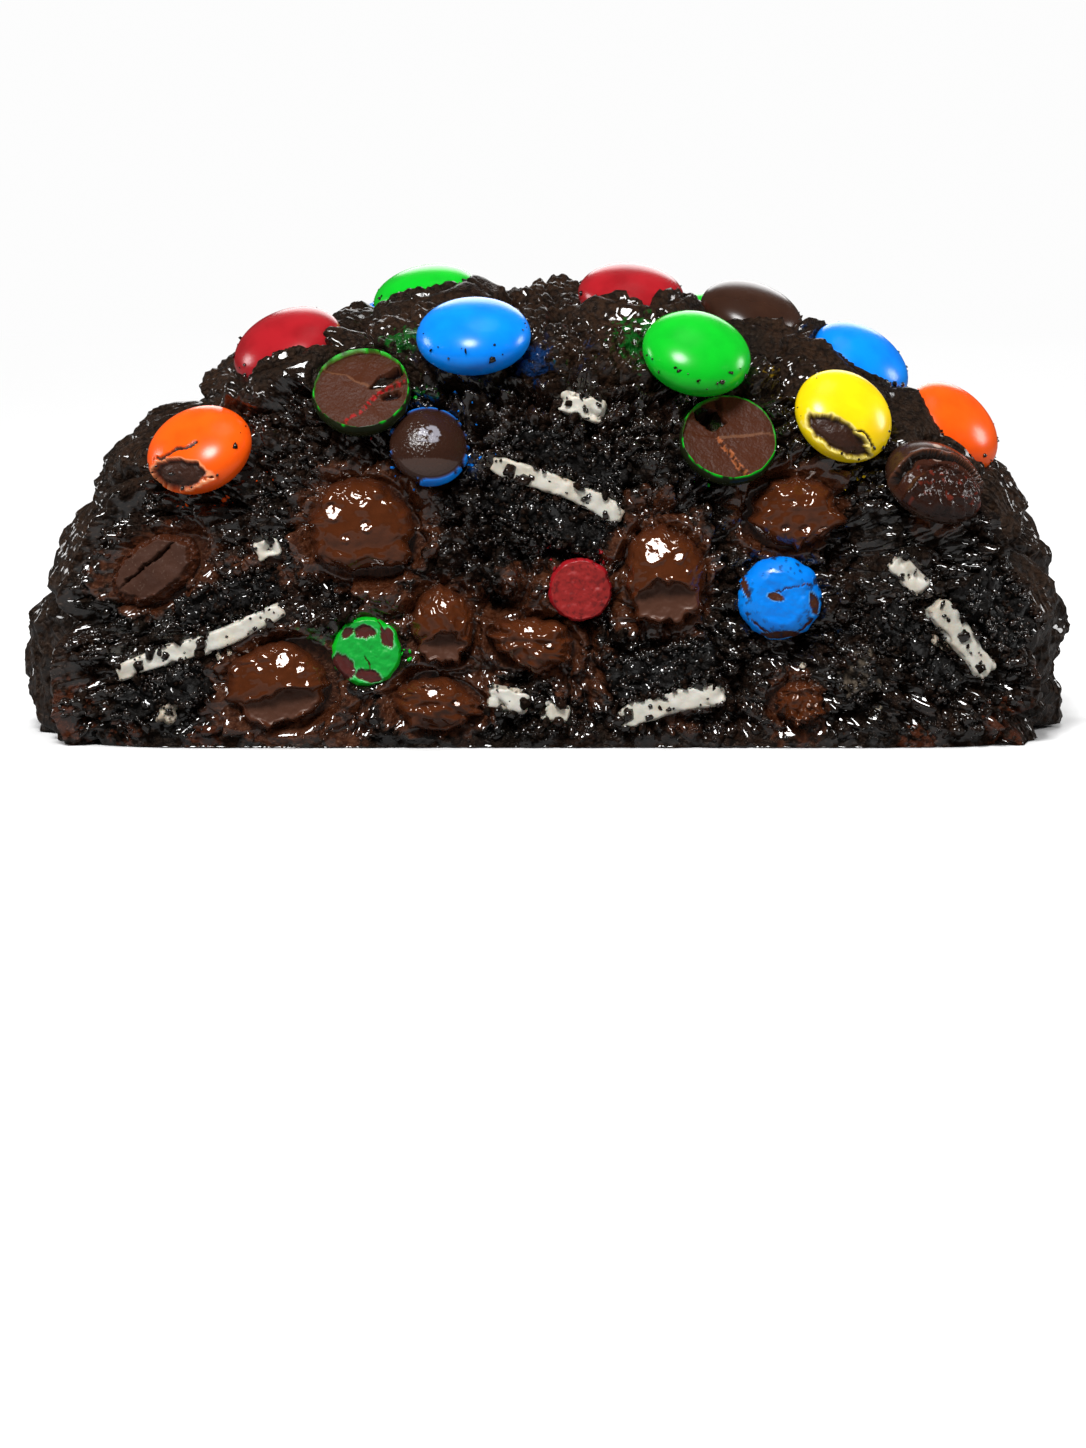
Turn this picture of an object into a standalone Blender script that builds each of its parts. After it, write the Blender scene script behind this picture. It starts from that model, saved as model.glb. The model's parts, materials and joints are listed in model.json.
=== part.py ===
# Half of a giant chocolate cookie, broken across and resting on its flat base.
# The broken face looks along -Y and shows sweets, melted chocolate and bits of
# sandwich biscuit with white cream. The sagging, domed crust behind it is studded
# with sugar-shelled sweets. Every piece sits in a pocket of the one solid dough.

import math
from functools import partial

import bmesh
import bpy
import numpy as np
from mathutils import Matrix, Vector, noise

MM = 0.001

# The half cookie, in millimetres
WIDTH = 122.0  # of the dome before its edges are rounded off
HEIGHT = 52.5
BACK = 54.0  # from the origin's plane to the back of the crust
BELLY_HEIGHT = 9.0  # where the cookie is widest
FOOT_CURL = 44.0  # lower half axis of the dome, so that the crust curls in at the foot
FACE_OFFSET = 20.5  # how far the broken face lies in front of the origin
FACE_LEAN = math.radians(4.0)  # the broken face leans back
DOME_CENTRE = Vector((0.5, -7.0, BELLY_HEIGHT))
DOME_AXES = (WIDTH / 2, BACK - DOME_CENTRE.y, HEIGHT - BELLY_HEIGHT)
SAG_CENTRE = Vector((0.0, 31.0, BELLY_HEIGHT))  # the crust sags towards the break
SAG_AXES = (78.0, 72.0, 48.0)
CORE = Vector((0.0, 8.0, 18.0))  # the skin is a distance from this inner point
FOOT_DEPTH = 3.0  # dough modelled below the base plane, then cut off flat

# How sharply the surfaces meet: low is round, high is sharp
CREST_ROUND = 14.0
EDGE_ROUND = 18.0
FOOT_ROUND = 44.0

# Where the crumb of the broken face gives way to the crust, seen from the front
CRUMB_TOP = 41.5
CRUMB_HALF_WIDTH = 62.0
CRUMB_OUTLINE = 2.6

# Relief of the skin, in millimetres: spacing of the lumps, then their height
CRUST_LUMP = (15.0, 3.6)
CRUST_WRINKLE = (5.0, 0.8)
FACE_SWELL = (24.0, 1.6)
CRAG = (7.5, 2.3)
CRUMB = (3.4, 1.0)
NOISE_SEED = 5
SKIN_DETAIL = 6  # subdivisions of the first ball
SKIN_KEPT = 0.13  # share of its faces that the relief needs

POCKET_GAP = 0.35  # between a piece and its pocket in the dough

# A whole sweet is a lentil
SWEET_RADIUS = 6.7
SWEET_HALF_THICKNESS = 3.6

# Colours and finishes: red, green, blue, roughness
FINISHES = {
    "dough": (0.022, 0.015, 0.012, 0.45),
    "wafer": (0.012, 0.010, 0.009, 0.6),
    "cream": (0.78, 0.74, 0.64, 0.5),
    "melted_chocolate": (0.085, 0.028, 0.010, 0.18),
    "chocolate": (0.060, 0.030, 0.020, 0.5),
    "red_shell": (0.42, 0.012, 0.018, 0.25),
    "green_shell": (0.010, 0.45, 0.045, 0.25),
    "blue_shell": (0.005, 0.22, 0.80, 0.25),
    "orange_shell": (0.90, 0.13, 0.010, 0.25),
    "yellow_shell": (0.90, 0.62, 0.010, 0.25),
    "brown_shell": (0.050, 0.018, 0.010, 0.25),
}

# Sweets on the crust and at its broken edge. Each has its place seen from the front
# (x, height), how far it stands proud, how far it tips towards the front and swings
# to the right from lying level (degrees), its size against a whole one, and its finish.
FRONT_SWEETS = {
    "sweet_red_left": (-29.3, 45.0, 1.5, 24, -22, 1.00, "red_shell"),
    "sweet_blue_top": (-8.4, 46.2, 1.8, 26, -2, 1.00, "blue_shell"),
    "sweet_orange_left": (-39.5, 34.0, 1.4, 39, -20, 0.96, "orange_shell"),
    "sweet_green_top": (16.7, 44.4, 1.8, 36, 14, 0.99, "green_shell"),
    "sweet_yellow": (33.4, 37.7, 1.6, 47, 33, 0.92, "yellow_shell"),
}
# The same for those that lie over the crest, placed by x and y
TOP_SWEETS = {
    "sweet_green_back": (-14.4, 5.0, 1.0, 12, -12, 0.96, "green_shell"),
    "sweet_red_top": (9.6, -2.5, 1.4, 18, 5, 0.97, "red_shell"),
    "sweet_brown_top": (23.6, -1.0, 1.2, 20, 18, 0.95, "brown_shell"),
    "sweet_blue_right": (36.2, -3.5, 1.2, 24, 33, 0.95, "blue_shell"),
    "sweet_orange_right": (46.8, -5.5, 1.0, 30, 42, 0.93, "orange_shell"),
}
# Sweets torn open by the break: place, proud, tip, swing, size, cut height, finish.
# The cut height is where the lentil is sliced across, as a share of its half thickness.
TORN_SWEETS = {
    "torn_sweet_left": (-21.3, 41.0, 0.4, 50, -6, 0.86, 0.30, "chocolate"),
    "torn_sweet_right": (20.6, 35.6, 0.6, 54, 10, 0.85, 0.30, "chocolate"),
    "peeled_sweet": (-13.7, 34.9, 0.9, 62, 16, 0.68, 1.00, "chocolate"),
    "cracked_sweet": (44.0, 30.6, 0.8, 32, 24, 0.90, 1.00, "brown_shell"),
}
# Sweets sunk in the broken face: place, proud, size, finish
SUNK_SWEETS = {
    "sunk_sweet_red": (3.7, 18.4, -0.6, 0.55, "red_shell"),
    "sunk_sweet_blue": (26.7, 17.4, -0.2, 0.72, "blue_shell"),
    "sunk_sweet_green": (-20.9, 11.2, -0.6, 0.60, "green_shell"),
}
# Sweets on the back of the crust, in rows: degrees up from the core, then degrees
# round from straight back for each sweet in the row
BACK_ROWS = {
    47.0: (-50.0, 4.0, 56.0),
    28.0: (-62.0, -22.0, 24.0, 60.0),
    9.0: (-42.0, 6.0, 46.0),
}
BACK_PROUD = 1.2
BACK_SIZE = 0.95
BACK_FINISHES = ("blue_shell", "yellow_shell", "green_shell", "red_shell", "orange_shell", "brown_shell")

# Chocolate in the broken face: place, half width, half height, half depth, proud,
# turn (degrees) and finish
CHOCOLATES = {
    "melt_upper_left": (-21.3, 25.4, 6.3, 5.6, 4.0, -1.6, 0, "melted_chocolate"),
    "melt_centre": (13.2, 20.0, 5.2, 5.6, 4.4, -1.2, 0, "melted_chocolate"),
    "melt_upper_right": (28.4, 27.4, 5.3, 4.4, 4.0, -1.8, 8, "melted_chocolate"),
    "melt_lower_left": (-31.2, 7.2, 5.8, 4.9, 4.0, -1.6, 0, "melted_chocolate"),
    "melt_middle": (-1.6, 12.0, 5.0, 3.0, 3.6, -1.8, -14, "melted_chocolate"),
    "melt_low": (-13.0, 5.0, 5.0, 2.9, 3.6, -1.8, -8, "melted_chocolate"),
    "chunk_left": (-45.4, 20.6, 5.6, 3.7, 4.2, -2.2, 30, "chocolate"),
    "chip_middle": (-12.0, 14.2, 3.8, 4.6, 4.0, -1.8, 0, "chocolate"),
    "chip_right": (29.1, 5.3, 2.8, 2.6, 3.0, -1.4, 0, "chocolate"),
}

# Slabs that run into the dough: place, length, thickness, turn (degrees), depth,
# proud and finish
CREAM_DEPTH = 8.0
WAFER_DEPTH = 9.5
SLABS = {
    "cream_centre": (1.1, 30.3, 17.0, 2.2, -23, CREAM_DEPTH, 0.7, "cream"),
    "wafer_centre_upper": (2.5, 33.9, 14.5, 3.6, -23, WAFER_DEPTH, 0.3, "wafer"),
    "wafer_centre_lower": (-0.4, 26.8, 15.0, 3.8, -22, WAFER_DEPTH, 0.3, "wafer"),
    "cream_left": (-40.1, 12.1, 21.5, 2.4, 21.5, CREAM_DEPTH, 0.7, "cream"),
    "wafer_left_upper": (-36.7, 17.4, 13.0, 3.4, 20, WAFER_DEPTH, 0.3, "wafer"),
    "wafer_left_lower": (-43.8, 6.5, 11.5, 3.8, 19, WAFER_DEPTH, 0.3, "wafer"),
    "cream_right_low": (47.1, 12.6, 10.8, 2.6, -48, CREAM_DEPTH, 0.7, "cream"),
    "cream_right_high": (41.4, 20.0, 5.4, 2.3, -43, CREAM_DEPTH, 0.6, "cream"),
    "wafer_right_inner": (42.3, 11.7, 13.0, 3.8, -47, WAFER_DEPTH, 0.3, "wafer"),
    "wafer_right_outer": (50.4, 15.6, 9.5, 3.4, -48, WAFER_DEPTH, 0.2, "wafer"),
    "cream_low": (14.4, 4.9, 13.0, 2.4, 15, CREAM_DEPTH, 0.7, "cream"),
    "wafer_low_upper": (13.4, 8.7, 13.0, 3.6, 15, WAFER_DEPTH, 0.3, "wafer"),
    "wafer_bit": (35.8, 8.4, 5.0, 4.6, 30, 5.0, 0.8, "wafer"),
    "cream_bit_top": (3.9, 39.6, 5.8, 2.6, -14, 4.0, 0.5, "cream"),
    "cream_bit_low": (-4.7, 5.5, 4.8, 3.2, -12, 4.0, 0.6, "cream"),
    "cream_bit_foot": (0.8, 4.0, 3.4, 2.2, -14, 4.0, 0.6, "cream"),
    "cream_bit_left": (-32.3, 23.2, 3.2, 2.6, 20, 4.0, 0.5, "cream"),
}
SLAB_STEP = 3.5  # a point this often along a slab
SLAB_WEAR = (3.0, 0.12)  # spacing of the uneven faces, and their height as a share of the thickness
SLAB_CORNER_WEAR = (1.0, 1.0, 0.97, 0.93)  # how far faces, edges and corners keep their place

BALL_SIDES = 12
BALL_RINGS = 6
BLOB_WAVES = 1.7  # unevenness of a chocolate's outline
BLOB_WOBBLE = 0.16
BASE_CUTTER = Vector((0.3, 0.3, 0.03))  # metres
OUTSIDE = 90.0  # a distance from the core that is clear of the skin
# Places on the front are given as seen from this point
VIEWPOINT = Vector((0.0, -713.7, 100.2))


# Form of the dough
def smooth_step(low, high, value):
    t = np.clip((value - low) / (high - low), 0.0, 1.0)
    return t * t * (3.0 - 2.0 * t)


def egg_distance(directions, centre, half_axes, below):
    """Distance from the core to an egg: half_axes hold above its centre, and below is its depth under it."""
    start = np.array(CORE - centre)
    reach = None
    for tall in (half_axes[2], below):
        axes = np.array((half_axes[0], half_axes[1], tall))
        a = ((directions / axes) ** 2).sum(axis=1)
        b = (directions / axes * (start / axes)).sum(axis=1)
        c = ((start / axes) ** 2).sum() - 1.0
        hit = (-b + np.sqrt(b * b - a * c)) / a
        if reach is None:
            reach = hit
        reach = np.where(start[2] + reach * directions[:, 2] < 0.0, hit, reach)
    return reach


def plane_distance(directions, normal, offset):
    """Distance from the core to a plane that lies offset ahead of it."""
    facing = directions @ np.array(normal)
    return np.where(facing > 1e-3, offset / np.maximum(facing, 1e-3), 1e6)


def softer_least(one, other, power):
    """The lesser of two distances, rounded off where they meet, and how far the second one rules."""
    share = (one / other) ** power
    return one * (1.0 + share) ** (-1.0 / power), share / (1.0 + share)


def plain_skin(directions):
    """Distance to the smooth half dome, and how far each point belongs to the broken face."""
    dome = egg_distance(directions, DOME_CENTRE, DOME_AXES, FOOT_CURL)
    sag = egg_distance(directions, SAG_CENTRE, SAG_AXES, SAG_AXES[2])
    lean = (0.0, -math.cos(FACE_LEAN), math.sin(FACE_LEAN))
    ahead = (FACE_OFFSET + CORE.y) * math.cos(FACE_LEAN) - CORE.z * math.sin(FACE_LEAN)
    face = plane_distance(directions, lean, ahead)
    foot = plane_distance(directions, (0.0, 0.0, -1.0), CORE.z + FOOT_DEPTH)
    crust, _ = softer_least(dome, sag, CREST_ROUND)
    side, broken = softer_least(crust, face, EDGE_ROUND)
    skin, _ = softer_least(side, foot, FOOT_ROUND)
    return skin, broken


def crumb_share(points, broken):
    """1 in the crumb of the broken face, 0 on the crust."""
    across = np.clip(np.abs(points[:, 0]) / CRUMB_HALF_WIDTH, 0.0, 1.0)
    edge = CRUMB_TOP * np.sqrt(1.0 - across**CRUMB_OUTLINE)
    return smooth_step(-1.5, 1.5, edge - points[:, 2]) * smooth_step(0.12, 0.4, broken)


def lumps(place, size):
    """Rounded lumps with creases between them: from 0 in a crease to 1 on a lump."""
    spacing, height = size
    nearest = noise.voronoi(place / spacing)[0]
    rise = min(1.0, (nearest[1] - nearest[0]) / 0.5)
    return height * (rise * (2.0 - rise) - 0.55)


def relief(place, crumb):
    """Height of the lumps, wrinkles and crags at one point of the plain skin."""
    warped = place + noise.noise_vector(place / 11.0) * 3.5
    crust = lumps(warped, CRUST_LUMP)
    crust += CRUST_WRINKLE[1] * noise.fractal(place / CRUST_WRINKLE[0], 1.0, 2.0, 3)
    broken = FACE_SWELL[1] * noise.noise(place / FACE_SWELL[0])
    broken += lumps(warped, CRAG) + lumps(place, CRUMB)
    return crust + (broken - crust) * crumb


def plain_radius(point):
    """How far a point lies outside the plain skin."""
    out = point - CORE
    reach = plain_skin(np.array([out.normalized()]))[0][0]
    return out.length - reach


def land(start, heading):
    """Where a straight line from outside first meets the plain skin, and the outward normal there."""
    nearest = (CORE - start).dot(heading)
    low, high = nearest - OUTSIDE, nearest - OUTSIDE
    while plain_radius(start + heading * high) > 0.0:
        low = high
        high += 1.0
        if high > nearest + OUTSIDE:
            raise ValueError(f"the line from {start} misses the skin")
    for _ in range(14):
        middle = (low + high) / 2
        if plain_radius(start + heading * middle) > 0.0:
            low = middle
        else:
            high = middle
    point = start + heading * high
    step = 0.2
    slopes = [
        plain_radius(point + Vector(axis) * step) - plain_radius(point - Vector(axis) * step)
        for axis in ((1, 0, 0), (0, 1, 0), (0, 0, 1))
    ]
    return point, Vector(slopes).normalized()


def on_front(x, z):
    """The skin behind a place in the plane of the broken face, as seen from the viewpoint."""
    place = Vector((x, -FACE_OFFSET, z))
    return land(VIEWPOINT, (place - VIEWPOINT).normalized())


def on_top(x, y):
    return land(Vector((x, y, OUTSIDE)), Vector((0.0, 0.0, -1.0)))


# Frames and meshes
def frame_at(point, out, along=None):
    """A placement in metres whose +Z looks out and whose +X runs along."""
    z = out.normalized()
    x = along if along is not None else Vector((1.0, 0.0, 0.0))
    y = z.cross(x).normalized()
    x = y.cross(z)
    turned = Matrix((x, y, z)).transposed().to_4x4()
    return Matrix.Translation(point * MM) @ turned


def new_material(name):
    red, green, blue, rough = FINISHES[name]
    material = bpy.data.materials.new(name)
    material.use_nodes = True
    shader = material.node_tree.nodes["Principled BSDF"]
    shader.inputs["Base Color"].default_value = (red, green, blue, 1.0)
    shader.inputs["Roughness"].default_value = rough
    return material


def make_object(name, bm, placement, collection, finish=None):
    """One object from a bmesh in millimetres."""
    bmesh.ops.scale(bm, vec=(MM, MM, MM), verts=bm.verts)
    bmesh.ops.recalc_face_normals(bm, faces=bm.faces)
    mesh = bpy.data.meshes.new(name)
    bm.to_mesh(mesh)
    bm.free()
    mesh.shade_smooth()
    made = bpy.data.objects.new(name, mesh)
    made.matrix_world = placement
    collection.objects.link(made)
    if finish:
        mesh.materials.append(bpy.data.materials.get(finish) or new_material(finish))
    return made


def lentil(radius, half_thickness, cut_height, grow):
    """A sweet: a flattened ball, sliced across at a share of its half thickness."""
    bm = bmesh.new()
    bmesh.ops.create_uvsphere(bm, u_segments=BALL_SIDES, v_segments=BALL_RINGS, radius=1.0)
    bmesh.ops.scale(bm, vec=(radius + grow, radius + grow, half_thickness + grow), verts=bm.verts)
    if cut_height < 1.0:
        everything = bm.verts[:] + bm.edges[:] + bm.faces[:]
        level = Vector((0.0, 0.0, half_thickness * cut_height + grow))
        up = Vector((0.0, 0.0, 1.0))
        cut = bmesh.ops.bisect_plane(bm, geom=everything, plane_co=level, plane_no=up, clear_outer=True)
        rim = [item for item in cut["geom_cut"] if isinstance(item, bmesh.types.BMEdge)]
        bmesh.ops.contextual_create(bm, geom=rim)
    return bm


def blob(size, seed, grow):
    """Chocolate: a ball flattened along the depth, with an uneven outline."""
    bm = bmesh.new()
    bmesh.ops.create_uvsphere(bm, u_segments=BALL_SIDES, v_segments=BALL_RINGS, radius=1.0)
    for vert in bm.verts:
        outward = vert.co.normalized()
        wobble = noise.noise(outward * BLOB_WAVES + Vector((seed * 3.1, 0.0, 0.0)))
        vert.co = outward * size * (1.0 + BLOB_WOBBLE * wobble) + outward * grow
    return bm


def slab(size, seed, grow):
    """A broken piece of wafer or cream: a box with worn, uneven faces. Its shown face is at +Z."""
    bm = bmesh.new()
    bmesh.ops.create_cube(bm, size=2.0)
    for axis, cuts in ((0, round(size.x / SLAB_STEP)), (2, 1)):
        lengthwise = [
            edge for edge in bm.edges if abs(edge.verts[0].co[axis] - edge.verts[1].co[axis]) > 0.5
        ]
        bmesh.ops.subdivide_edges(bm, edges=lengthwise, cuts=cuts)
    for vert in bm.verts:
        on_side = [abs(part) > 0.99 for part in vert.co]
        worn = SLAB_CORNER_WEAR[sum(on_side)]
        place = vert.co * size * (0.5 * worn)
        shift = noise.noise_vector(place / SLAB_WEAR[0] + Vector((seed * 5.3, 0.0, 0.0)))
        outward = Vector([math.copysign(float(side), part) for side, part in zip(on_side, vert.co)])
        vert.co = place + shift * size.y * SLAB_WEAR[1] + outward * grow
    return bm


# The dough
def make_dough(collection):
    bm = bmesh.new()
    bmesh.ops.create_icosphere(bm, subdivisions=SKIN_DETAIL, radius=1.0)
    directions = np.array([vert.co.normalized() for vert in bm.verts])
    reach, broken = plain_skin(directions)
    points = directions * reach[:, None] + np.array(CORE)
    crumb = crumb_share(points, broken)
    for vert, point, direction, share in zip(bm.verts, points, directions, crumb):
        vert.co = Vector(point) + Vector(direction) * relief(Vector(point), float(share))
    dough = make_object("cookie_dough", bm, Matrix.Identity(4), collection, "dough")
    thin = dough.modifiers.new("fewer faces", "DECIMATE")
    thin.ratio = SKIN_KEPT
    return dough


def add_base_cutter(pockets):
    """Cuts the dough off flat at the base plane."""
    bpy.ops.mesh.primitive_cube_add(size=1.0, location=(0.0, 0.0, -BASE_CUTTER.z / 2), scale=BASE_CUTTER)
    cutter = bpy.context.active_object
    cutter.name = "below_the_base"
    for owner in cutter.users_collection:
        owner.objects.unlink(cutter)
    pockets.objects.link(cutter)
    hide_cutter(cutter)


def hide_cutter(cutter):
    cutter.hide_render = True
    cutter.display_type = "WIRE"


def cut_dough(dough, pockets):
    """Cuts the base and the pockets, and drops the loose scraps that lie between them."""
    cut = dough.modifiers.new("pockets and base", "BOOLEAN")
    cut.operation = "DIFFERENCE"
    cut.solver = "EXACT"
    cut.operand_type = "COLLECTION"
    cut.collection = pockets
    graph = bpy.context.evaluated_depsgraph_get()
    dough.data = bpy.data.meshes.new_from_object(dough.evaluated_get(graph))
    dough.modifiers.clear()
    bm = bmesh.new()
    bm.from_mesh(dough.data)
    bodies = loose_bodies(bm)
    largest = max(bodies, key=len)
    for body in bodies:
        if body is not largest:
            bmesh.ops.delete(bm, geom=list(body), context="VERTS")
    bm.to_mesh(dough.data)
    bm.free()


def loose_bodies(bm):
    """The sets of joined-up points."""
    waiting = set(bm.verts)
    bodies = []
    while waiting:
        body = set()
        reached = [waiting.pop()]
        while reached:
            vert = reached.pop()
            body.add(vert)
            for edge in vert.link_edges:
                other = edge.other_vert(vert)
                if other in waiting:
                    waiting.remove(other)
                    reached.append(other)
        bodies.append(body)
    return bodies


# The pieces
def add_piece(name, build, placement, finish, parts, pockets):
    """A piece, and the cutter that makes its pocket. build takes how far to grow."""
    make_object(name, build(0.0), placement, parts, finish)
    hide_cutter(make_object(name + "_pocket", build(POCKET_GAP), placement, pockets))


def add_sweet(name, point, axis, size, cut_height, finish, parts, pockets):
    def build(grow):
        return lentil(SWEET_RADIUS * size, SWEET_HALF_THICKNESS * size, cut_height, grow)

    add_piece(name, build, frame_at(point, axis), finish, parts, pockets)


def lentil_axis(tip, swing):
    """The way a sweet faces: tipped to the front, then swung to the right."""
    tip, swing = math.radians(tip), math.radians(swing)
    return Vector((math.cos(tip) * math.sin(swing), -math.sin(tip), math.cos(tip) * math.cos(swing)))


def add_crust_sweets(parts, pockets):
    for table, find in ((FRONT_SWEETS, on_front), (TOP_SWEETS, on_top)):
        for name, (x, other, proud, tip, swing, size, finish) in table.items():
            point, out = find(x, other)
            axis = lentil_axis(tip, swing)
            add_sweet(name, point + out * proud, axis, size, 1.0, finish, parts, pockets)


def add_broken_face_sweets(parts, pockets):
    for name, (x, z, proud, tip, swing, size, cut_height, finish) in TORN_SWEETS.items():
        point, out = on_front(x, z)
        axis = lentil_axis(tip, swing)
        add_sweet(name, point + out * proud, axis, size, cut_height, finish, parts, pockets)
    for name, (x, z, proud, size, finish) in SUNK_SWEETS.items():
        point, out = on_front(x, z)
        add_sweet(name, point + out * proud, out, size, 1.0, finish, parts, pockets)


def add_back_sweets(parts, pockets):
    places = [(up, around) for up, rounds in BACK_ROWS.items() for around in rounds]
    for count, (up, around) in enumerate(places):
        up, around = math.radians(up), math.radians(around)
        flat = math.cos(up)
        heading = Vector((flat * math.sin(around), flat * math.cos(around), math.sin(up)))
        point, out = land(CORE + heading * OUTSIDE, -heading)
        finish = BACK_FINISHES[count % len(BACK_FINISHES)]
        name = f"sweet_behind_{count + 1}"
        add_sweet(name, point + out * BACK_PROUD, out, BACK_SIZE, 1.0, finish, parts, pockets)


def add_chocolates(parts, pockets):
    for seed, (name, row) in enumerate(CHOCOLATES.items()):
        x, z, half_width, half_height, half_depth, proud, turn, finish = row
        point, out = on_front(x, z)
        size = Vector((half_width, half_height, half_depth))
        placement = frame_at(point + out * proud, out, turned(turn))
        add_piece(name, partial(blob, size, seed), placement, finish, parts, pockets)


def add_slabs(parts, pockets):
    for seed, (name, row) in enumerate(SLABS.items()):
        x, z, length, thickness, turn, depth, proud, finish = row
        point, out = on_front(x, z)
        size = Vector((length, thickness, depth))
        placement = frame_at(point + out * (proud - depth / 2), out, turned(turn))
        add_piece(name, partial(slab, size, seed), placement, finish, parts, pockets)


def turned(angle):
    """The way along a piece of the broken face, turned up from level by an angle in degrees."""
    return Vector((math.cos(math.radians(angle)), 0.0, math.sin(math.radians(angle))))


def main():
    for old in list(bpy.data.objects):
        bpy.data.objects.remove(old)
    noise.seed_set(NOISE_SEED)
    parts = bpy.data.collections.new("giant_cookie_half")
    pockets = bpy.data.collections.new("pockets")
    for collection in (parts, pockets):
        bpy.context.scene.collection.children.link(collection)
    dough = make_dough(parts)
    add_crust_sweets(parts, pockets)
    add_broken_face_sweets(parts, pockets)
    add_back_sweets(parts, pockets)
    add_chocolates(parts, pockets)
    add_slabs(parts, pockets)
    add_base_cutter(pockets)
    cut_dough(dough, pockets)


if __name__ == "__main__":
    main()
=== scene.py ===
import json
import math

import bmesh
import bpy
import numpy as np
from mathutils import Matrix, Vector, noise


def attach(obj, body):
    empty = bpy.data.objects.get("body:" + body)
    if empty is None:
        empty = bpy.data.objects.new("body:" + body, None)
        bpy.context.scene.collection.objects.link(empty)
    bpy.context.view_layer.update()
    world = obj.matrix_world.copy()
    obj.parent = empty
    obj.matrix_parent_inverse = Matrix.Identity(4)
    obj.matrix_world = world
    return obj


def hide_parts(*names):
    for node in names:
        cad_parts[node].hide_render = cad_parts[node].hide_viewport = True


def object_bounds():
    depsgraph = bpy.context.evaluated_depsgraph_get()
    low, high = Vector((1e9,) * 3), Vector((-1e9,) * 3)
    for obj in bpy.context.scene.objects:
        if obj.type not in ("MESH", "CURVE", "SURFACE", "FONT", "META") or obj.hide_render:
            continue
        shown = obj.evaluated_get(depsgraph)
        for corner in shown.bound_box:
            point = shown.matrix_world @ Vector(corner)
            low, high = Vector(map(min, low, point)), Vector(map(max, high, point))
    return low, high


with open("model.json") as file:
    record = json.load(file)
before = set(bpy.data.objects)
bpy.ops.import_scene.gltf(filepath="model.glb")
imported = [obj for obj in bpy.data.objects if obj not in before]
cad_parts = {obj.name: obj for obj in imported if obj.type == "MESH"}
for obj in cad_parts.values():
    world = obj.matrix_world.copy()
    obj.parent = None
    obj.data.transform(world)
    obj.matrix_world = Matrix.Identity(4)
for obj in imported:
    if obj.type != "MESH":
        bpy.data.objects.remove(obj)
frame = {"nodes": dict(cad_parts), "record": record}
cadBox = [list(corner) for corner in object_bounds()]
noise.seed_set(5)  # gives the lumps that the solid dough has
draw = np.random.default_rng(11)
mm = 0.001
scene = bpy.context.scene
slotOf = {row["node"]: row["material_slot"] for row in frame["record"]["subparts"]}
print("frame loaded:", len(frame["nodes"]), "nodes")


# Form of the half cookie, in millimetres, as in the solids
form = {
    "core": (0.0, 8.0, 18.0),
    "domeCentre": (0.5, -7.0, 9.0),
    "domeAxes": (61.0, 61.0, 43.5),
    "domeBelow": 44.0,
    "sagCentre": (0.0, 31.0, 9.0),
    "sagAxes": (78.0, 72.0, 48.0),
    "faceOffset": 20.5,
    "faceLean": math.radians(4.0),
    "footDepth": 3.0,
    "crestRound": 14.0,
    "edgeRound": 18.0,
    "footRound": 44.0,
    "crumbTop": 41.5,
    "crumbHalfWidth": 62.0,
    "crumbOutline": 2.6,
    "crumbBorder": (0.12, 0.4),
    "crustLumps": (15.0, 3.6),  # spacing and height
    "crumbLumps": (7.5, 2.3),
    "smallLumps": (3.4, 1.0),
    "lentilHeight": 3.6 / 6.7,  # half a sweet's thickness, as a share of its radius
}
core = np.array(form["core"])


def smoothStep(low, high, value):
    t = np.clip((value - low) / (high - low), 0.0, 1.0)
    return t * t * (3.0 - 2.0 * t)


def eggDistance(directions, centre, halfAxes, below):
    start = core - np.array(centre)
    reach = None
    for tall in (halfAxes[2], below):
        axes = np.array((halfAxes[0], halfAxes[1], tall))
        a = ((directions / axes) ** 2).sum(axis=1)
        b = (directions / axes * (start / axes)).sum(axis=1)
        c = ((start / axes) ** 2).sum() - 1.0
        hit = (-b + np.sqrt(b * b - a * c)) / a
        if reach is None:
            reach = hit
        reach = np.where(start[2] + reach * directions[:, 2] < 0.0, hit, reach)
    return reach


def planeDistance(directions, normal, offset):
    facing = directions @ np.array(normal)
    return np.where(facing > 1e-3, offset / np.maximum(facing, 1e-3), 1e6)


def softerLeast(one, other, power):
    share = (one / other) ** power
    return one * (1.0 + share) ** (-1.0 / power), share / (1.0 + share)


# How far the plain skin lies from the core, and how much the broken face rules there
def plainSkin(directions):
    lean = form["faceLean"]
    domed = eggDistance(directions, form["domeCentre"], form["domeAxes"], form["domeBelow"])
    sagging = eggDistance(directions, form["sagCentre"], form["sagAxes"], form["sagAxes"][2])
    ahead = (form["faceOffset"] + core[1]) * math.cos(lean) - core[2] * math.sin(lean)
    face = planeDistance(directions, (0.0, -math.cos(lean), math.sin(lean)), ahead)
    foot = planeDistance(directions, (0.0, 0.0, -1.0), core[2] + form["footDepth"])
    crust, _ = softerLeast(domed, sagging, form["crestRound"])
    side, broken = softerLeast(crust, face, form["edgeRound"])
    skin, _ = softerLeast(side, foot, form["footRound"])
    return skin, broken


def plainPoints(directions):
    reach, broken = plainSkin(directions)
    return core + directions * reach[:, None], broken


# 1 in the crumb of the broken face, 0 on the crust
def crumbShare(points, broken, halfWidth=form["crumbHalfWidth"], outline=form["crumbOutline"],
               border=form["crumbBorder"]):
    across = np.clip(np.abs(points[:, 0]) / halfWidth, 0.0, 1.0)
    edge = form["crumbTop"] * np.sqrt(1.0 - across ** outline)
    return smoothStep(-1.5, 1.5, edge - points[:, 2]) * smoothStep(*border, broken)


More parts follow.
